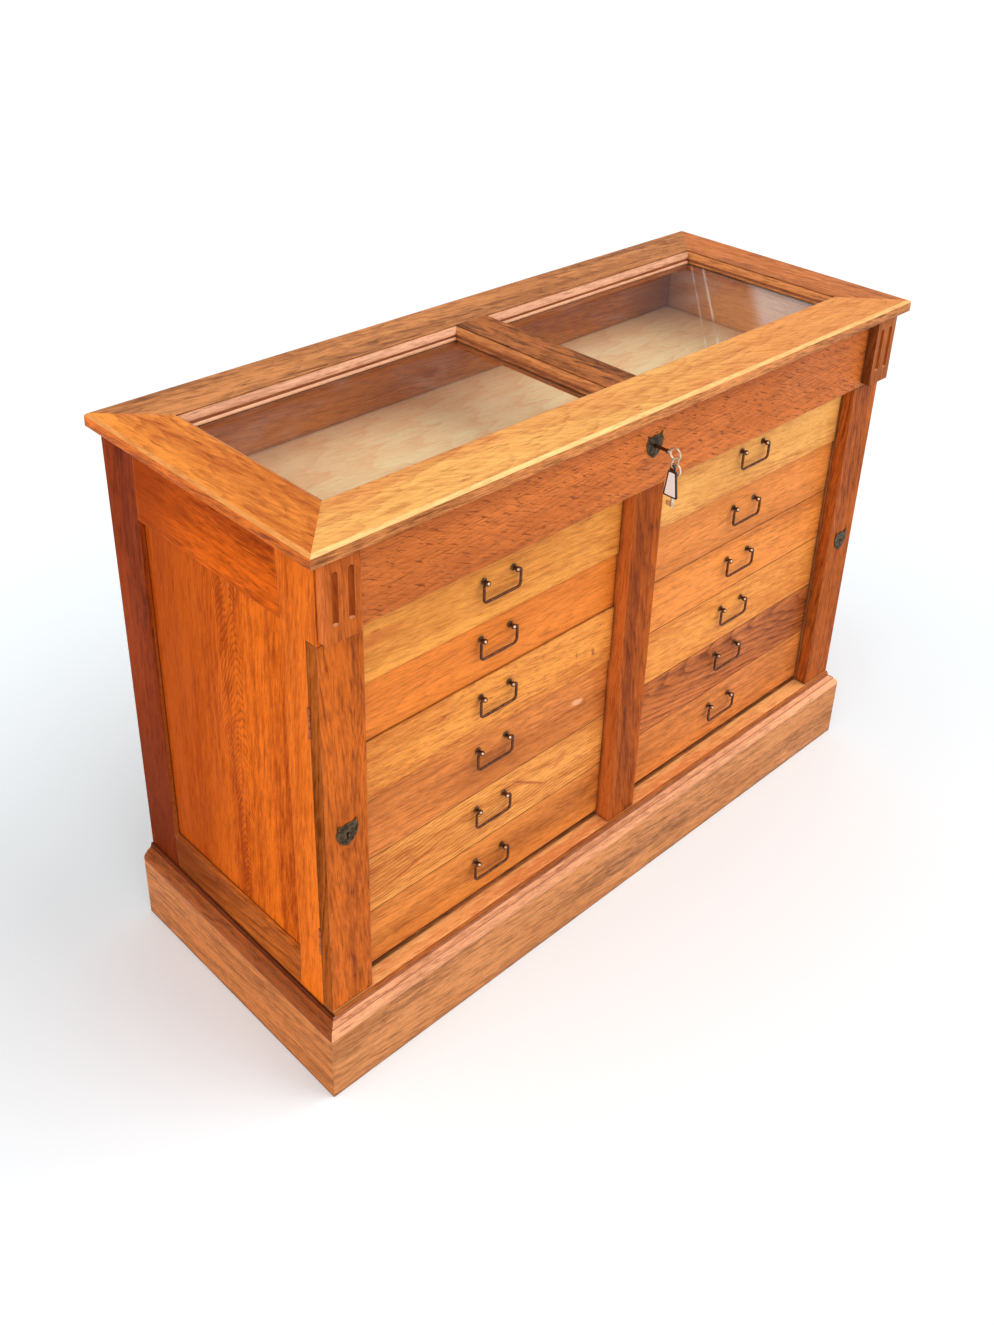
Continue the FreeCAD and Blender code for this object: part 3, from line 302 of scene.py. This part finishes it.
def metal(name, tone, dull, roughness, metallic=0.9, bright=None, grime_and_shade=0.6):
    material, t = new_material(name)
    place = t.add("ShaderNodeTexCoord").outputs["Object"]
    cloud = t.noise(place, (160.0, 160.0, 160.0), 4.0, 0.6)
    grain = t.noise(place, (900.0, 900.0, 900.0), 3.0, 0.6)
    worn = t.add("ShaderNodeGroup", node_tree=WEAR_HIGHLIGHT_AND_SHADE).outputs
    surface = t.mix(t.ramp(cloud, 0.36, 0.64), colour(*tone), colour(*dull))
    # Arrises lighten towards the bright tone: painted highlight, with wear
    surface = t.mix(t.math("MULTIPLY", worn["Wear and highlight"], 0.6), surface, colour(*(bright or tone)))
    # Corners and creases darken: painted shade, with grime
    surface = t.mix(t.math("MULTIPLY", worn["Grime and shade"], grime_and_shade), surface, (0.012, 0.008, 0.005, 1.0))
    rough = t.math("ADD", t.ramp(cloud, 0.3, 0.7, roughness - 0.08, roughness + 0.12),
                   t.math("MULTIPLY", grain, 0.08))
    relief = t.add("ShaderNodeBump", {"Strength": 0.25, "Distance": 0.0002, "Height": grain,
                                      "Normal": worn["Normal"]}).outputs[0]
    shader = t.add("ShaderNodeBsdfPrincipled", {"Base Color": surface, "Roughness": rough,
                                                "Metallic": metallic, "Normal": relief})
    t.add("ShaderNodeOutputMaterial", {"Surface": shader.outputs[0]})
    return material


def pane_glass():
    material, t = new_material("pane_glass")
    place = t.add("ShaderNodeTexCoord").outputs["Object"]
    swirl = t.noise(place, (5.0, 9.0, 9.0), 4.0, 0.65, 0.8)
    wipe = t.noise(place, (40.0, 6.0, 6.0), 3.0, 0.6, 0.3)
    axes = t.add("ShaderNodeSeparateXYZ", {"Vector": place}).outputs
    # Two scratches, painted bright as glare, and the start of a painted pale reflection are lines of one
    # slope across the right pane
    first_line, second_line, pale_start, pale_end = 0.283, 0.262, 0.350, 0.380
    slope = t.math("SUBTRACT", t.math("MULTIPLY", axes["X"], 0.67), t.math("MULTIPLY", axes["Y"], 0.74))
    rub = t.noise(place, (9.0, 9.0, 9.0), 2.0, 0.6)
    scratch_glare = t.ramp(t.math("ABSOLUTE", t.math("SUBTRACT", slope, first_line)), 0.0030, 0.0006)
    second = t.ramp(t.math("ABSOLUTE", t.math("SUBTRACT", slope, second_line)), 0.0022, 0.0005)
    scratch_glare = t.math("MULTIPLY", t.math("MAXIMUM", scratch_glare, t.math("MULTIPLY", second, 0.5)),
                     t.ramp(rub, 0.36, 0.56, 0.02, 0.15))
    pale_reflection = t.math("MULTIPLY", t.ramp(slope, pale_start, pale_end), 0.16)
    dust_and_reflection_share = t.math("MULTIPLY", t.ramp(swirl, 0.46, 0.72, 0.002, 0.030), t.ramp(wipe, 0.3, 0.7, 0.6, 1.2))
    dust_and_reflection_share = t.math("ADD", dust_and_reflection_share, t.math("MAXIMUM", scratch_glare, pale_reflection), clamp=True)
    wave = t.noise(place, (3.0, 4.0, 4.0), 1.0)
    relief = t.add("ShaderNodeBump", {"Strength": 0.08, "Distance": 0.002, "Height": wave}).outputs[0]
    clear = t.add("ShaderNodeBsdfTransparent", {"Color": (0.995, 1.0, 0.995, 1.0)}).outputs[0]
    gloss = t.add("ShaderNodeBsdfGlossy", {"Color": (0.95, 0.95, 0.95, 1.0), "Roughness": 0.03,
                                           "Normal": relief}).outputs[0]
    dust_and_reflection_film = t.add("ShaderNodeBsdfDiffuse", {"Color": (0.86, 0.84, 0.80, 1.0)}).outputs[0]
    mirror = t.add("ShaderNodeFresnel", {"IOR": 1.45, "Normal": relief}).outputs[0]
    outside = t.math("SUBTRACT", 1.0, t.add("ShaderNodeNewGeometry").outputs["Backfacing"])
    mirror = t.math("MULTIPLY", mirror, t.math("MULTIPLY", outside, 0.45))
    sheet = t.add("ShaderNodeMixShader", {0: mirror, 1: clear, 2: gloss}).outputs[0]
    with_dust_and_reflection = t.add("ShaderNodeMixShader", {0: dust_and_reflection_share, 1: sheet, 2: dust_and_reflection_film}).outputs[0]
    t.add("ShaderNodeOutputMaterial", {"Surface": with_dust_and_reflection})
    return material


def matt(name, tone, second, roughness, scale=300.0, bump=0.2):
    material, t = new_material(name)
    place = t.add("ShaderNodeTexCoord").outputs["Object"]
    grain = t.noise(place, (scale, scale, scale), 4.0, 0.6)
    surface = t.mix(t.ramp(grain, 0.35, 0.65), colour(*tone), colour(*second))
    rough = t.ramp(grain, 0.3, 0.7, roughness - 0.06, roughness + 0.08)
    relief = t.add("ShaderNodeBump", {"Strength": bump, "Distance": 0.0002, "Height": grain}).outputs[0]
    shader = t.add("ShaderNodeBsdfPrincipled", {"Base Color": surface, "Roughness": rough, "Normal": relief})
    t.add("ShaderNodeOutputMaterial", {"Surface": shader.outputs[0]})
    return material


def paint(node, materials, rule=None):
    """Gives a CAD node its materials: rule maps a face's centre and normal to a key of materials."""
    mesh = nodes[node].data
    mesh.materials.clear()
    if rule is None:
        mesh.materials.append(materials)
        return
    order = list(materials)
    for key in order:
        mesh.materials.append(materials[key])
    for polygon in mesh.polygons:
        polygon.material_index = order.index(rule(polygon.center, polygon.normal))


# Lid
def lid_board(c, n):
    outer = abs(c.x) > LID_HALF - 0.004 or c.y < LID_FRONT + 0.004
    # The outer edge faces below the round-over get darker copies of the lid's oak: painted shade on the
    # upright faces
    if c.z < LID_ARRIS and max(abs(n.x), -n.y) > 0.5 and outer:
        return "front_edge" if -n.y > 0.5 else "end_edge"
    # The rounded top arrises get pale copies of the lid's oak: painted highlight along the round-over
    if n.y < -0.15 and n.z > 0.15 and c.y < LID_FRONT + 0.01:
        return "front_arris_highlight"
    if abs(n.x) > 0.15 and n.z > 0.15 and abs(c.x) > LID_HALF - 0.01:
        return "end_arris_highlight"
    shares = {
        "front": (c.y - LID_FRONT) / LID_RAILS["front"],
        "back": (LID_BACK - c.y) / LID_RAILS["back"],
        "left": (c.x + LID_HALF) / LID_RAILS["end"],
        "right": (LID_HALF - c.x) / LID_RAILS["end"],
    }
    nearest = min(shares, key=shares.get)
    return nearest if shares[nearest] < 1.02 else "muntin"


paint("lid_frame", {
    "front": oak("oak_lid_front", "XY", (255, 189, 101), (200, 111, 50), (238, 143, 79), heart=(-0.30, 0.05),
                 spacing=0.0035, rings=0.30, streaks=0.8, pores=0.50, mottle=0.3, slant=0.5, wear_and_highlight=0.6,
                 fade=("X", -0.1, 0.6, 0.5)),
    "left": oak("oak_lid_left", "YX", (255, 155, 56), (175, 79, 21), (203, 102, 30), heart=(-0.66, 0.03),
                spacing=0.0032, rings=0.35, streaks=0.8, pores=0.62, mottle=0.35, wear_and_highlight=0.5),
    "back": oak("oak_lid_back", "XY", (220, 142, 79), (131, 73, 36), (172, 106, 59), heart=(0.30, 0.06),
                spacing=0.0030, rings=0.4, streaks=1.0, pores=0.7, mottle=0.4),
    "right": oak("oak_lid_right", "YX", (226, 133, 68), (141, 73, 32), (178, 95, 40), heart=(0.70, 0.05),
                 rings=0.35, pores=0.55),
    "muntin": oak("oak_muntin", "YX", (195, 112, 50), (93, 44, 14), heart=(0.02, 0.04), spacing=0.003,
                  rings=0.35, streaks=1.4, pores=0.8, flecks=0.5),
    "front_edge": oak("oak_lid_front_edge_shade", "X", (230, 146, 80), (136, 73, 32), rings=0.3, streaks=1.2,
                      pores=0.8, wear_and_highlight=0.5),
    "end_edge": oak("oak_lid_end_edge_shade", "Y", (255, 130, 16), (149, 60, 3), rings=0.3, streaks=1.2, pores=0.8,
                    wear_and_highlight=0.5),
    "front_arris_highlight": oak("oak_lid_front_arris_highlight", "X", (255, 218, 142), (232, 160, 88), rings=0.2, streaks=0.7,
                       pores=0.3),
    "end_arris_highlight": oak("oak_lid_end_arris_highlight", "Y", (250, 172, 92), (206, 116, 50), rings=0.2, streaks=0.7,
                     pores=0.3),
}, lid_board)


def strip_direction(c, n):
    shares = {
        "X": min(abs(c.y - OPENING_FRONT), abs(c.y - OPENING_BACK)),
        "Y": min(abs(abs(c.x) - OPENING_END), abs(abs(c.x) - MUNTIN_HALF)),
    }
    along = min(shares, key=shares.get)
    # Slips under the glass get a dark copy so that they merge with the wall in shade: painted shade
    if c.z < GLASS_TOP:
        return "slip"
    # The quirk's upright faces get a dark copy and the long beads' small round a pale one: painted shade in
    # the groove, painted highlight on the round
    if shares[along] > BEAD_LIP:
        if c.z > GLASS_TOP + BEAD_QUIRK and abs(n.z) < 0.3:
            return "quirk"
        return "lip" if along == "X" else "Y"
    return along


paint("glazing_beads", {
    "lip": oak("oak_bead_lip_highlight", "X", (246, 190, 150), (204, 138, 98), rings=0.2, pores=0.3, grime_and_shade=0.2,
               wear_and_highlight=0.5),
    "quirk": oak("oak_bead_quirk_shade", "X", (176, 104, 66), (130, 70, 42), rings=0.2, pores=0.3),
    "slip": oak("oak_bead_slip_shade", "X", (186, 112, 68), (140, 78, 44), rings=0.2, pores=0.3, grime_and_shade=0.3),
    "X": oak("oak_bead_long", "X", (240, 178, 140), (176, 112, 78), rings=0.2, pores=0.6, grime_and_shade=0.8,
             wear_and_highlight=0.8),
    "Y": oak("oak_bead_short", "Y", (222, 140, 78), (140, 72, 34), rings=0.2, pores=0.6, grime_and_shade=1.0, wear_and_highlight=0.6),
}, strip_direction)
paint("glass_panes", pane_glass())

# Case
paint("frieze_rail", oak("oak_frieze", "X", (231, 128, 55), (149, 69, 24), (192, 99, 40), heart=(0.80, 0.10),
                         spacing=0.0030, rings=0.25, streaks=0.55, pores=0.62, mottle=0.4, flecks=0.75,
                         slant=0.40, grime_and_shade=0.85))


def edge_or_face(c, n):
    return "edge" if abs(n.x) > 0.5 else "face"


def block_face(c, n):
    # The right block's face and the blocks' inner sides get darker copies, the outer sides a lighter one:
    # painted shade and painted light
    face = "face" if c.x < 0.0 else "right_face"
    if abs(n.x) > 0.98 and c.y > BLOCK_FRONT + 0.004:
        return "edge" if n.x * c.x > 0.0 else "inner_edge"
    if c.y < BLOCK_FRONT + 0.0003 or c.z < BLOCK_FOOT + 0.004:
        return face
    # Flute hollows get a dark copy and their upturned ends a pale one: painted shade in the hollows, painted
    # highlight on the ends
    if c.y < BLOCK_FRONT + FLUTE_FLOOR:
        return "flute_end" if n.z > 0.45 else "flute"
    return face


paint("fluted_blocks", {
    "face": oak("oak_blocks", "Z", (206, 104, 36), (128, 54, 12), heart=(0.5, 0.05), rings=0.3, pores=0.6,
                grime_and_shade=1.0, gloss=0.06),
    "right_face": oak("oak_right_block_shade", "Z", (192, 107, 48), (120, 57, 20), heart=(0.5, 0.05), rings=0.3,
                      pores=0.6, grime_and_shade=1.0, gloss=0.06),
    "inner_edge": oak("oak_block_inner_side_shade", "ZY", (160, 88, 42), (108, 52, 20), rings=0.3, pores=0.4,
                      coat=0.0, gloss=0.03, grime_and_shade=0.8),
    "edge": oak("oak_block_side_lit", "ZY", (240, 132, 62), (190, 88, 34), rings=0.3, pores=0.4, coat=0.0,
                gloss=0.03, grime_and_shade=0.8),
    "flute": oak("oak_flutes_shade", "Z", (176, 82, 30), (128, 54, 16), rings=0.2, pores=0.3, coat=0.0, gloss=0.02,
                 grime_and_shade=0.4),
    "flute_end": oak("oak_flute_ends_highlight", "Z", (226, 150, 100), (196, 116, 72), rings=0.1, pores=0.2, grime_and_shade=0.2),
}, block_face)
# The post's side faces get a lighter copy of its oak: painted light
paint("centre_post", {
    "face": oak("oak_post", "Z", (191, 92, 21), (117, 46, 6), heart=(0.02, 0.05), spacing=0.0034, rings=0.35,
                pores=0.6, gloss=0.05),
    "edge": oak("oak_post_side_lit", "ZY", (218, 120, 54), (156, 76, 26), rings=0.3, pores=0.4, coat=0.0,
                gloss=0.03),
}, edge_or_face)
for side, heart, light, dark in (("left", -0.60, (221, 111, 32), (135, 58, 12)),
                                 ("right", 0.62, (206, 103, 27), (125, 53, 9))):
    # The stiles' side faces get a darker copy, darkest beside the gap to the side frame: painted shade
    paint(side + "_locking_stile", {
        "face": oak("oak_stile_" + side, "Z", light, dark, heart=(heart, 0.30), spacing=0.0036, rings=0.35,
                    streaks=1.0, pores=0.62, mottle=0.3, gloss=0.06),
        "edge": oak("oak_stile_edge_shade_" + side, "ZY", (192, 100, 40), (112, 50, 14), (84, 34, 10), rings=0.3,
                    mottle=0.0, pores=0.5, coat=0.0, gloss=0.0, fade=("Y", -0.2138, -0.2128, 0.35)),
    }, edge_or_face)


def side_member(c, n):
    if n.x * c.x < 0.0 and abs(n.x) > 0.5:
        return "inner"
    if c.y < SIDE_STILE_BACK:
        return "front"
    if c.y > SIDE_BACK_STILE:
        return "back"
    return "top" if c.z > 0.5 else "bottom"


# The sides darken from front to back, and the back stile also towards its foot: painted shade
paint("side_frames", {
    "front": oak("oak_side_front_stile", "ZY", (252, 126, 32), (185, 78, 13), heart=(-0.25, 0.66), rings=0.3,
                 mottle=0.2, coat=0.0, gloss=0.02),
    "back": oak("oak_side_back_stile", "ZY", (165, 64, 13), (99, 30, 2), (96, 30, 6), heart=(0.30, 0.66),
                rings=0.3, pores=0.6, coat=0.0, gloss=0.02, fade=("Z", 0.62, 0.24, 0.45)),
    "top": oak("oak_side_top_rail", "YX", (243, 109, 11), (154, 58, 2), (141, 45, 3), heart=(-0.60, 0.0),
               rings=0.35, coat=0.0, gloss=0.02, fade=("Y", -0.02, 0.17, 0.6)),
    "bottom": oak("oak_side_bottom_rail", "Y", (215, 113, 43), (128, 58, 14), (116, 47, 15), heart=(0.2, 0.5),
                  rings=0.35, pores=0.6, coat=0.0, gloss=0.02, fade=("Y", -0.04, 0.17, 0.7)),
    # The inside faces get a lighter copy, darker towards the back corner: painted light and painted shade
    "inner": oak("oak_inner_side", "Y", (254, 182, 100), (224, 136, 66), (140, 78, 38), rings=0.3, mottle=0.0,
                 pores=0.4, grime_and_shade=0.4, fade=("Y", 0.11, 0.23, 0.6)),
}, side_member)
panel_looks = {}
# The panels darken towards the back: painted shade
for side, depth in (("left", 0.672), ("right", -0.602)):
    panel_looks[side] = oak("oak_%s_panel" % side, "ZY", (252, 123, 23), (171, 65, 6), (167, 63, 8),
                            heart=(-0.030, depth), taper=-0.20, spacing=0.0026, rings=0.7, streaks=1.1,
                            mottle=0.1, pores=0.4, coat=0.0, gloss=0.02, fade=("Y", -0.12, 0.16, 0.7))
paint("side_panels", panel_looks, lambda c, n: "left" if c.x < 0.0 else "right")


def back_member(c, n):
    if c.z > DISPLAY_FLOOR and n.y < -0.5:
        return "inner"
    if c.z > BACK_TOP_RAIL or c.z < BACK_BOTTOM_RAIL:
        return "rail"
    return "upright"


paint("back_panelling", {
    "rail": oak("oak_back_rail", "X", (206, 132, 78), (150, 84, 44), heart=(0.5, 0.3), rings=0.4),
    # The inside face of the back gets a lighter copy, darker towards the right end: painted light and painted
    # shade
    "inner": oak("oak_inner_back", "X", (210, 128, 31), (158, 83, 13), (112, 60, 22), rings=0.35, mottle=0.0,
                 pores=0.4, grime_and_shade=0.4, fade=("X", 0.44, 0.61, 0.6)),
    "upright": oak("oak_back_upright", "Z", (200, 124, 72), (146, 80, 40), heart=(0.2, 0.4), rings=0.5),
}, back_member)
# The display floor darkens towards its left end: painted shadow
paint("display_floor", oak("plain_floor_board", "XY", (255, 230, 178), (248, 188, 134), (206, 150, 106),
                           heart=(0.05, 0.35), taper=0.12, spacing=0.014, rings=0.45, streaks=0.5,
                           mottle=0.12, pores=0.12, coat=0.05, fade=("X", -0.20, -0.62, 0.45)))
paint("drawer_runner_frames", oak("oak_runners", "Z", (186, 116, 66), (134, 76, 40), rings=0.3))
# The board's top gets a lighter copy that turns dark where it runs back under the drawers: painted light and
# painted shadow
paint("bottom_board", {
    "nosing": oak("oak_bottom_board", "XY", (200, 110, 43), (124, 57, 16), heart=(-0.24, 0.05), rings=0.35,
                  pores=0.6, grime_and_shade=1.0),
    "top": oak("oak_board_top", "XY", (255, 186, 114), (222, 136, 76), (84, 34, 14), heart=(-0.24, 0.05),
               rings=0.35, streaks=1.2, mottle=0.0, pores=0.5, grime_and_shade=0.6, fade=("Y", -0.2100, -0.2055, 0.9)),
}, lambda c, n: "top" if n.z > 0.9 and c.z > BOARD_TOP else "nosing")


def plinth_board(c, n):
    if c.z > PLINTH_TOP + 0.0001 and (abs(c.x) > MOULDING_HALF or c.y < MOULDING_FRONT):
        front = (c.y - PLINTH_FRONT) < (PLINTH_HALF - abs(c.x))
        # The fillet and crown get dark lines, the moulding's front a lighter copy and its side a darker one:
        # painted shade and painted light
        if FILLET_FOOT < c.z < FILLET_TOP or c.z > MOULDING_CROWN:
            return "line_front" if front else "line_side"
        return "moulding_front" if front else "moulding_side"
    if c.y < PLINTH_FRONT_BACK or c.y > PLINTH_BACK_FRONT:
        return "long"
    return "short" if abs(c.x) > PLINTH_SIDE else "bearer"


paint("plinth", {
    "long": oak("oak_plinth_front", "X", (228, 151, 89), (140, 83, 41), (184, 113, 59), heart=(-0.12, 0.34),
                spacing=0.0034, rings=0.4, streaks=1.1, mottle=0.4, pores=0.6, wear_and_highlight=0.5),
    "short": oak("oak_plinth_side", "Y", (230, 139, 67), (140, 76, 32), (190, 106, 45), heart=(-0.10, 0.50),
                 rings=0.4, streaks=1.1, pores=0.6, wear_and_highlight=0.5),
    "moulding_front": oak("oak_moulding_front", "X", (254, 180, 130), (172, 104, 66), rings=0.2, pores=0.5,
                          grime_and_shade=1.0, wear_and_highlight=0.7),
    "moulding_side": oak("oak_moulding_side", "Y", (177, 89, 33), (92, 38, 6), rings=0.2, pores=0.6,
                         grime_and_shade=1.0, wear_and_highlight=0.5),
    "line_front": oak("oak_moulding_shade_line", "X", (176, 100, 68), (124, 62, 38), rings=0.2, pores=0.4,
                      grime_and_shade=0.8),
    "line_side": oak("oak_moulding_side_shade_line", "Y", (124, 56, 26), (84, 34, 14), rings=0.2, pores=0.4,
                     coat=0.0, gloss=0.02, grime_and_shade=0.5),
    "bearer": oak("oak_bearers", "X", (190, 130, 84), (140, 88, 52), rings=0.3),
}, plinth_board)

# Drawers: each front is a board of its own
inner_board = oak("oak_drawer_sides", "Y", (220, 160, 104), (176, 114, 66), rings=0.35, pores=0.4, coat=0.0)
FRONTS = {
    "left_drawer_1": dict(light=(255, 172, 76), dark=(189, 99, 37), spacing=0.0030, rings=0.25, streaks=0.7,
                          marks=((-0.525, 0.757, 0.013, 0.009, 0, (214, 132, 66), 0.6),
                                 (-0.525, 0.765, 0.012, 0.002, 0, (150, 80, 36), 0.6),
                                 (-0.57, 0.755, 0.11, 0.016, 0, (206, 108, 46), 0.55))),
    "left_drawer_2": dict(light=(255, 146, 54), dark=(188, 95, 29), spacing=0.0028, rings=0.22, streaks=0.5),
    "left_drawer_3": dict(light=(255, 166, 74), dark=(189, 96, 36), spacing=0.0034, rings=0.25, flecks=0.45,
                          marks=((-0.078, 0.522, 0.004, 0.010, 15, (150, 78, 36), 0.7),
                                 (-0.117, 0.534, 0.003, 0.008, 10, (160, 84, 40), 0.6))),
    "left_drawer_4": dict(light=(239, 143, 67), dark=(164, 84, 33), spacing=0.0030, rings=0.25, mottle=0.4,
                          marks=((-0.105, 0.434, 0.016, 0.007, -10, (252, 186, 138), 0.8),)),
    "left_drawer_5": dict(light=(255, 171, 83), dark=(182, 92, 33), heart=(0.20, 0.16), taper=0.09,
                          spacing=0.0060, rings=0.55,
                          marks=((-0.455, 0.310, 0.065, 0.0035, 11, (180, 84, 32), 0.75),
                                 (-0.214, 0.328, 0.050, 0.003, -31, (172, 80, 34), 0.7),
                                 (-0.140, 0.334, 0.020, 0.008, 30, (206, 112, 56), 0.6),
                                 (-0.092, 0.314, 0.016, 0.006, -25, (210, 118, 60), 0.6))),
    "left_drawer_6": dict(light=(243, 148, 66), dark=(167, 87, 31), spacing=0.0036, rings=0.3),
    "right_drawer_1": dict(light=(255, 186, 98), dark=(200, 111, 49), spacing=0.0034, rings=0.25),
    "right_drawer_2": dict(light=(250, 153, 70), dark=(183, 98, 38), spacing=0.0028, rings=0.2, streaks=0.5),
    "right_drawer_3": dict(light=(255, 155, 68), dark=(181, 95, 34), spacing=0.0032, rings=0.25),
    "right_drawer_4": dict(light=(255, 168, 75), dark=(201, 105, 40), spacing=0.0032, rings=0.25),
    "right_drawer_5": dict(light=(223, 126, 59), dark=(131, 62, 23), heart=(0.372, 0.24), taper=0.16,
                           spacing=0.0110, rings=0.7, fade=("X", 0.30, 0.60, 0.35)),
    "right_drawer_6": dict(light=(239, 143, 68), dark=(165, 86, 35), spacing=0.0036, rings=0.3),
}
for node, look in FRONTS.items():
    look.setdefault("heart", (0.46 if node.endswith(("1", "3", "5")) else 0.62, 0.12))
    front = oak("oak_front_" + node, "X", **look)
    paint(node, {"front": front, "inner": inner_board},
          lambda c, n: "front" if c.y < DRAWER_FRONT_BACK else "inner")

# Metal, keys and tag
bronze = metal("aged_bronze", (110, 68, 40), (60, 36, 22), 0.22, bright=(236, 196, 150), metallic=0.75)
brass = metal("dark_brass", (92, 74, 50), (50, 40, 28), 0.40, bright=(176, 150, 108))
bronze_highlight = metal("bronze_highlight", (240, 210, 178), (206, 164, 122), 0.30, bright=(250, 226, 196),
                    metallic=0.4, grime_and_shade=0.2)
wire_bronze = metal("wire_bronze", (112, 62, 28), (74, 40, 18), 0.34, bright=(150, 98, 52), metallic=0.6)
hinge_brass = metal("browned_hinge_brass", (196, 98, 40), (150, 70, 28), 0.5, bright=(206, 112, 52),
                    metallic=0.2, grime_and_shade=0.1)
steel = metal("bolt_steel", (150, 148, 142), (112, 110, 106), 0.35)
key_metal = metal("key_nickel", (236, 222, 196), (196, 180, 152), 0.28, bright=(252, 246, 232), metallic=0.7,
                  grime_and_shade=0.3)
for side in ("left", "right"):
    for row in range(1, 7):
        # A pale spot on the crown of each post's ball: painted highlight, with wear
        paint("%s_pull_posts_%d" % (side, row), {"worn": bronze_highlight, "cast": bronze},
              lambda c, n: "worn" if c.y < BALL_START and n.dot(BALL_CROWN) > 0.89 else "cast")
        paint("%s_bail_%d" % (side, row), wire_bronze)
    paint(side + "_stile_furniture", {"plate": brass, "leaf": hinge_brass},
          lambda c, n: "leaf" if abs(c.x) > HINGE_LEAF and c.y > CASE_FRONT + 0.001 else "plate")
paint("case_hinge_leaves", hinge_brass)
paint("lid_hinge_leaves", hinge_brass)
paint("lid_lock", brass)
paint("lid_lock_bolt", steel)
paint("key", {"shank": bronze, "bow": key_metal},
      lambda c, n: "shank" if c.y > KEY_BOW and c.z > KEY_SHANK_FOOT else "bow")
paint("key_ring", key_metal)
paint("key_tag", matt("tag_black", (26, 26, 28), (40, 40, 42), 0.42))


# Small pieces that the CAD part leaves to the looks
def add_mesh(name, body, material, build):
    mesh = bpy.data.meshes.new(name)
    shape = bmesh.new()
    build(shape)
    shape.to_mesh(mesh)
    shape.free()
    for polygon in mesh.polygons:
        polygon.use_smooth = True
    mesh.set_sharp_from_angle(angle=math.radians(35))
    mesh.materials.append(material)
    piece = bpy.data.objects.new(name, mesh)
    scene.collection.objects.link(piece)
    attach(piece, body)
    return piece


def pins(places):
    def build(shape):
        for x, y, z in places:
            made = bmesh.ops.create_uvsphere(shape, u_segments=20, v_segments=10, radius=PIN_RADIUS)
            for vertex in made["verts"]:
                vertex.co.y *= PIN_DOME
                vertex.co += Vector((x, y, z))
    return build


for body, (x, z) in SHIELDS.items():
    places = [(x + across, CASE_FRONT - SHIELD_THICKNESS, z + up) for across, up in SHIELD_PINS]
    add_mesh("shield_pins_" + body, body, bronze, pins(places))


def label_sides(shape):
    low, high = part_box("key_tag")
    middle_y = (low.y + high.y) / 2
    top, foot = high.z - 0.0125, low.z + 0.0026
    half_top, half_foot, corner = 0.0056, 0.0102, 0.0018
    gap, thickness = 0.00005, 0.00025
    outline = []
    for y, z, start in ((half_top, top, 0), (-half_top, top, 90), (-half_foot, foot, 180),
                        (half_foot, foot, 270)):
        inner_y = middle_y + y - math.copysign(corner, y)
        inner_z = z - corner if z == top else z + corner
        for step in range(7):
            angle = math.radians(start + step * 15)
            outline.append((inner_y + corner * math.cos(angle), inner_z + corner * math.sin(angle)))
    for x, way in ((low.x, -1), (high.x, 1)):
        under = [shape.verts.new((x + way * gap, y, z)) for y, z in outline]
        raised = [shape.verts.new((x + way * (gap + thickness), y, z)) for y, z in outline]
        faces = [raised] + [[under[i - 1], under[i], raised[i], raised[i - 1]] for i in range(len(outline))]
        for corners in faces:
            shape.faces.new(corners)
    bmesh.ops.recalc_face_normals(shape, faces=shape.faces)


add_mesh("tag_label", "tag", matt("label_paper", (255, 255, 253), (250, 249, 246), 0.6, 700.0),
         label_sides)

# Floor, light and camera
def pale_floor():
    material, t = new_material("pale_floor")
    path = t.add("ShaderNodeLightPath").outputs
    seen = t.math("MAXIMUM", path["Is Camera Ray"], path["Is Glossy Ray"])
    seen = t.math("MAXIMUM", seen, path["Is Transmission Ray"])
    plain = t.add("ShaderNodeBsdfDiffuse", {"Color": (0.72, 0.72, 0.72, 1.0)}).outputs[0]
    bright = t.add("ShaderNodeBsdfDiffuse", {"Color": (0.92, 0.975, 1.0, 1.0)}).outputs[0]
    surface = t.add("ShaderNodeMixShader", {0: seen, 1: plain, 2: bright}).outputs[0]
    t.add("ShaderNodeOutputMaterial", {"Surface": surface})
    return material


floor_mesh = bpy.data.meshes.new("floor")
floor_mesh.from_pydata([(-14, -14, 0), (14, -14, 0), (14, 20, 0), (-14, 20, 0)], [], [(0, 1, 2, 3)])
floor = bpy.data.objects.new("floor", floor_mesh)
scene.collection.objects.link(floor)
floor.location.z = -0.0004
floor_mesh.materials.append(pale_floor())

world = bpy.data.worlds.new("studio")
world.use_nodes = True
world.node_tree.nodes["Background"].inputs["Color"].default_value = (1.0, 1.0, 1.0, 1.0)
world.node_tree.nodes["Background"].inputs["Strength"].default_value = 0.55
scene.world = world


def sun(name, towards, strength, spread):
    lamp = bpy.data.lights.new(name, "SUN")
    lamp.energy = strength
    lamp.angle = math.radians(spread)
    holder = bpy.data.objects.new(name, lamp)
    scene.collection.objects.link(holder)
    holder.rotation_mode = "QUATERNION"
    holder.rotation_quaternion = Vector(towards).to_track_quat("Z", "Y")
    return holder


sun("key_light", (0.50, -0.50, 0.70), 1.32, 50.0)
sun("fill_light", (-0.85, -0.42, 0.42), 1.8, 120.0)

# Camera placed where the photograph was taken from
CAMERA_PLACE = (-1.4557, -1.3615, 1.7733)
CAMERA_RIGHT = Vector((0.718024, -0.695490, 0.027109))
CAMERA_DOWN = Vector((-0.322837, -0.367296, -0.872278))
CAMERA_FORWARD = Vector((0.616618, 0.617565, -0.488258))
camera_data = bpy.data.cameras.new("photo_camera")
camera_data.sensor_width = 36.0
camera_data.lens = 36.746
camera_data.shift_y = -0.1131
camera = bpy.data.objects.new("photo_camera", camera_data)
scene.collection.objects.link(camera)
turn = Matrix((CAMERA_RIGHT, -CAMERA_DOWN, -CAMERA_FORWARD)).transposed()
camera.matrix_world = Matrix.Translation(CAMERA_PLACE) @ turn.to_4x4()
scene.camera = camera

scene.view_settings.view_transform = "Standard"
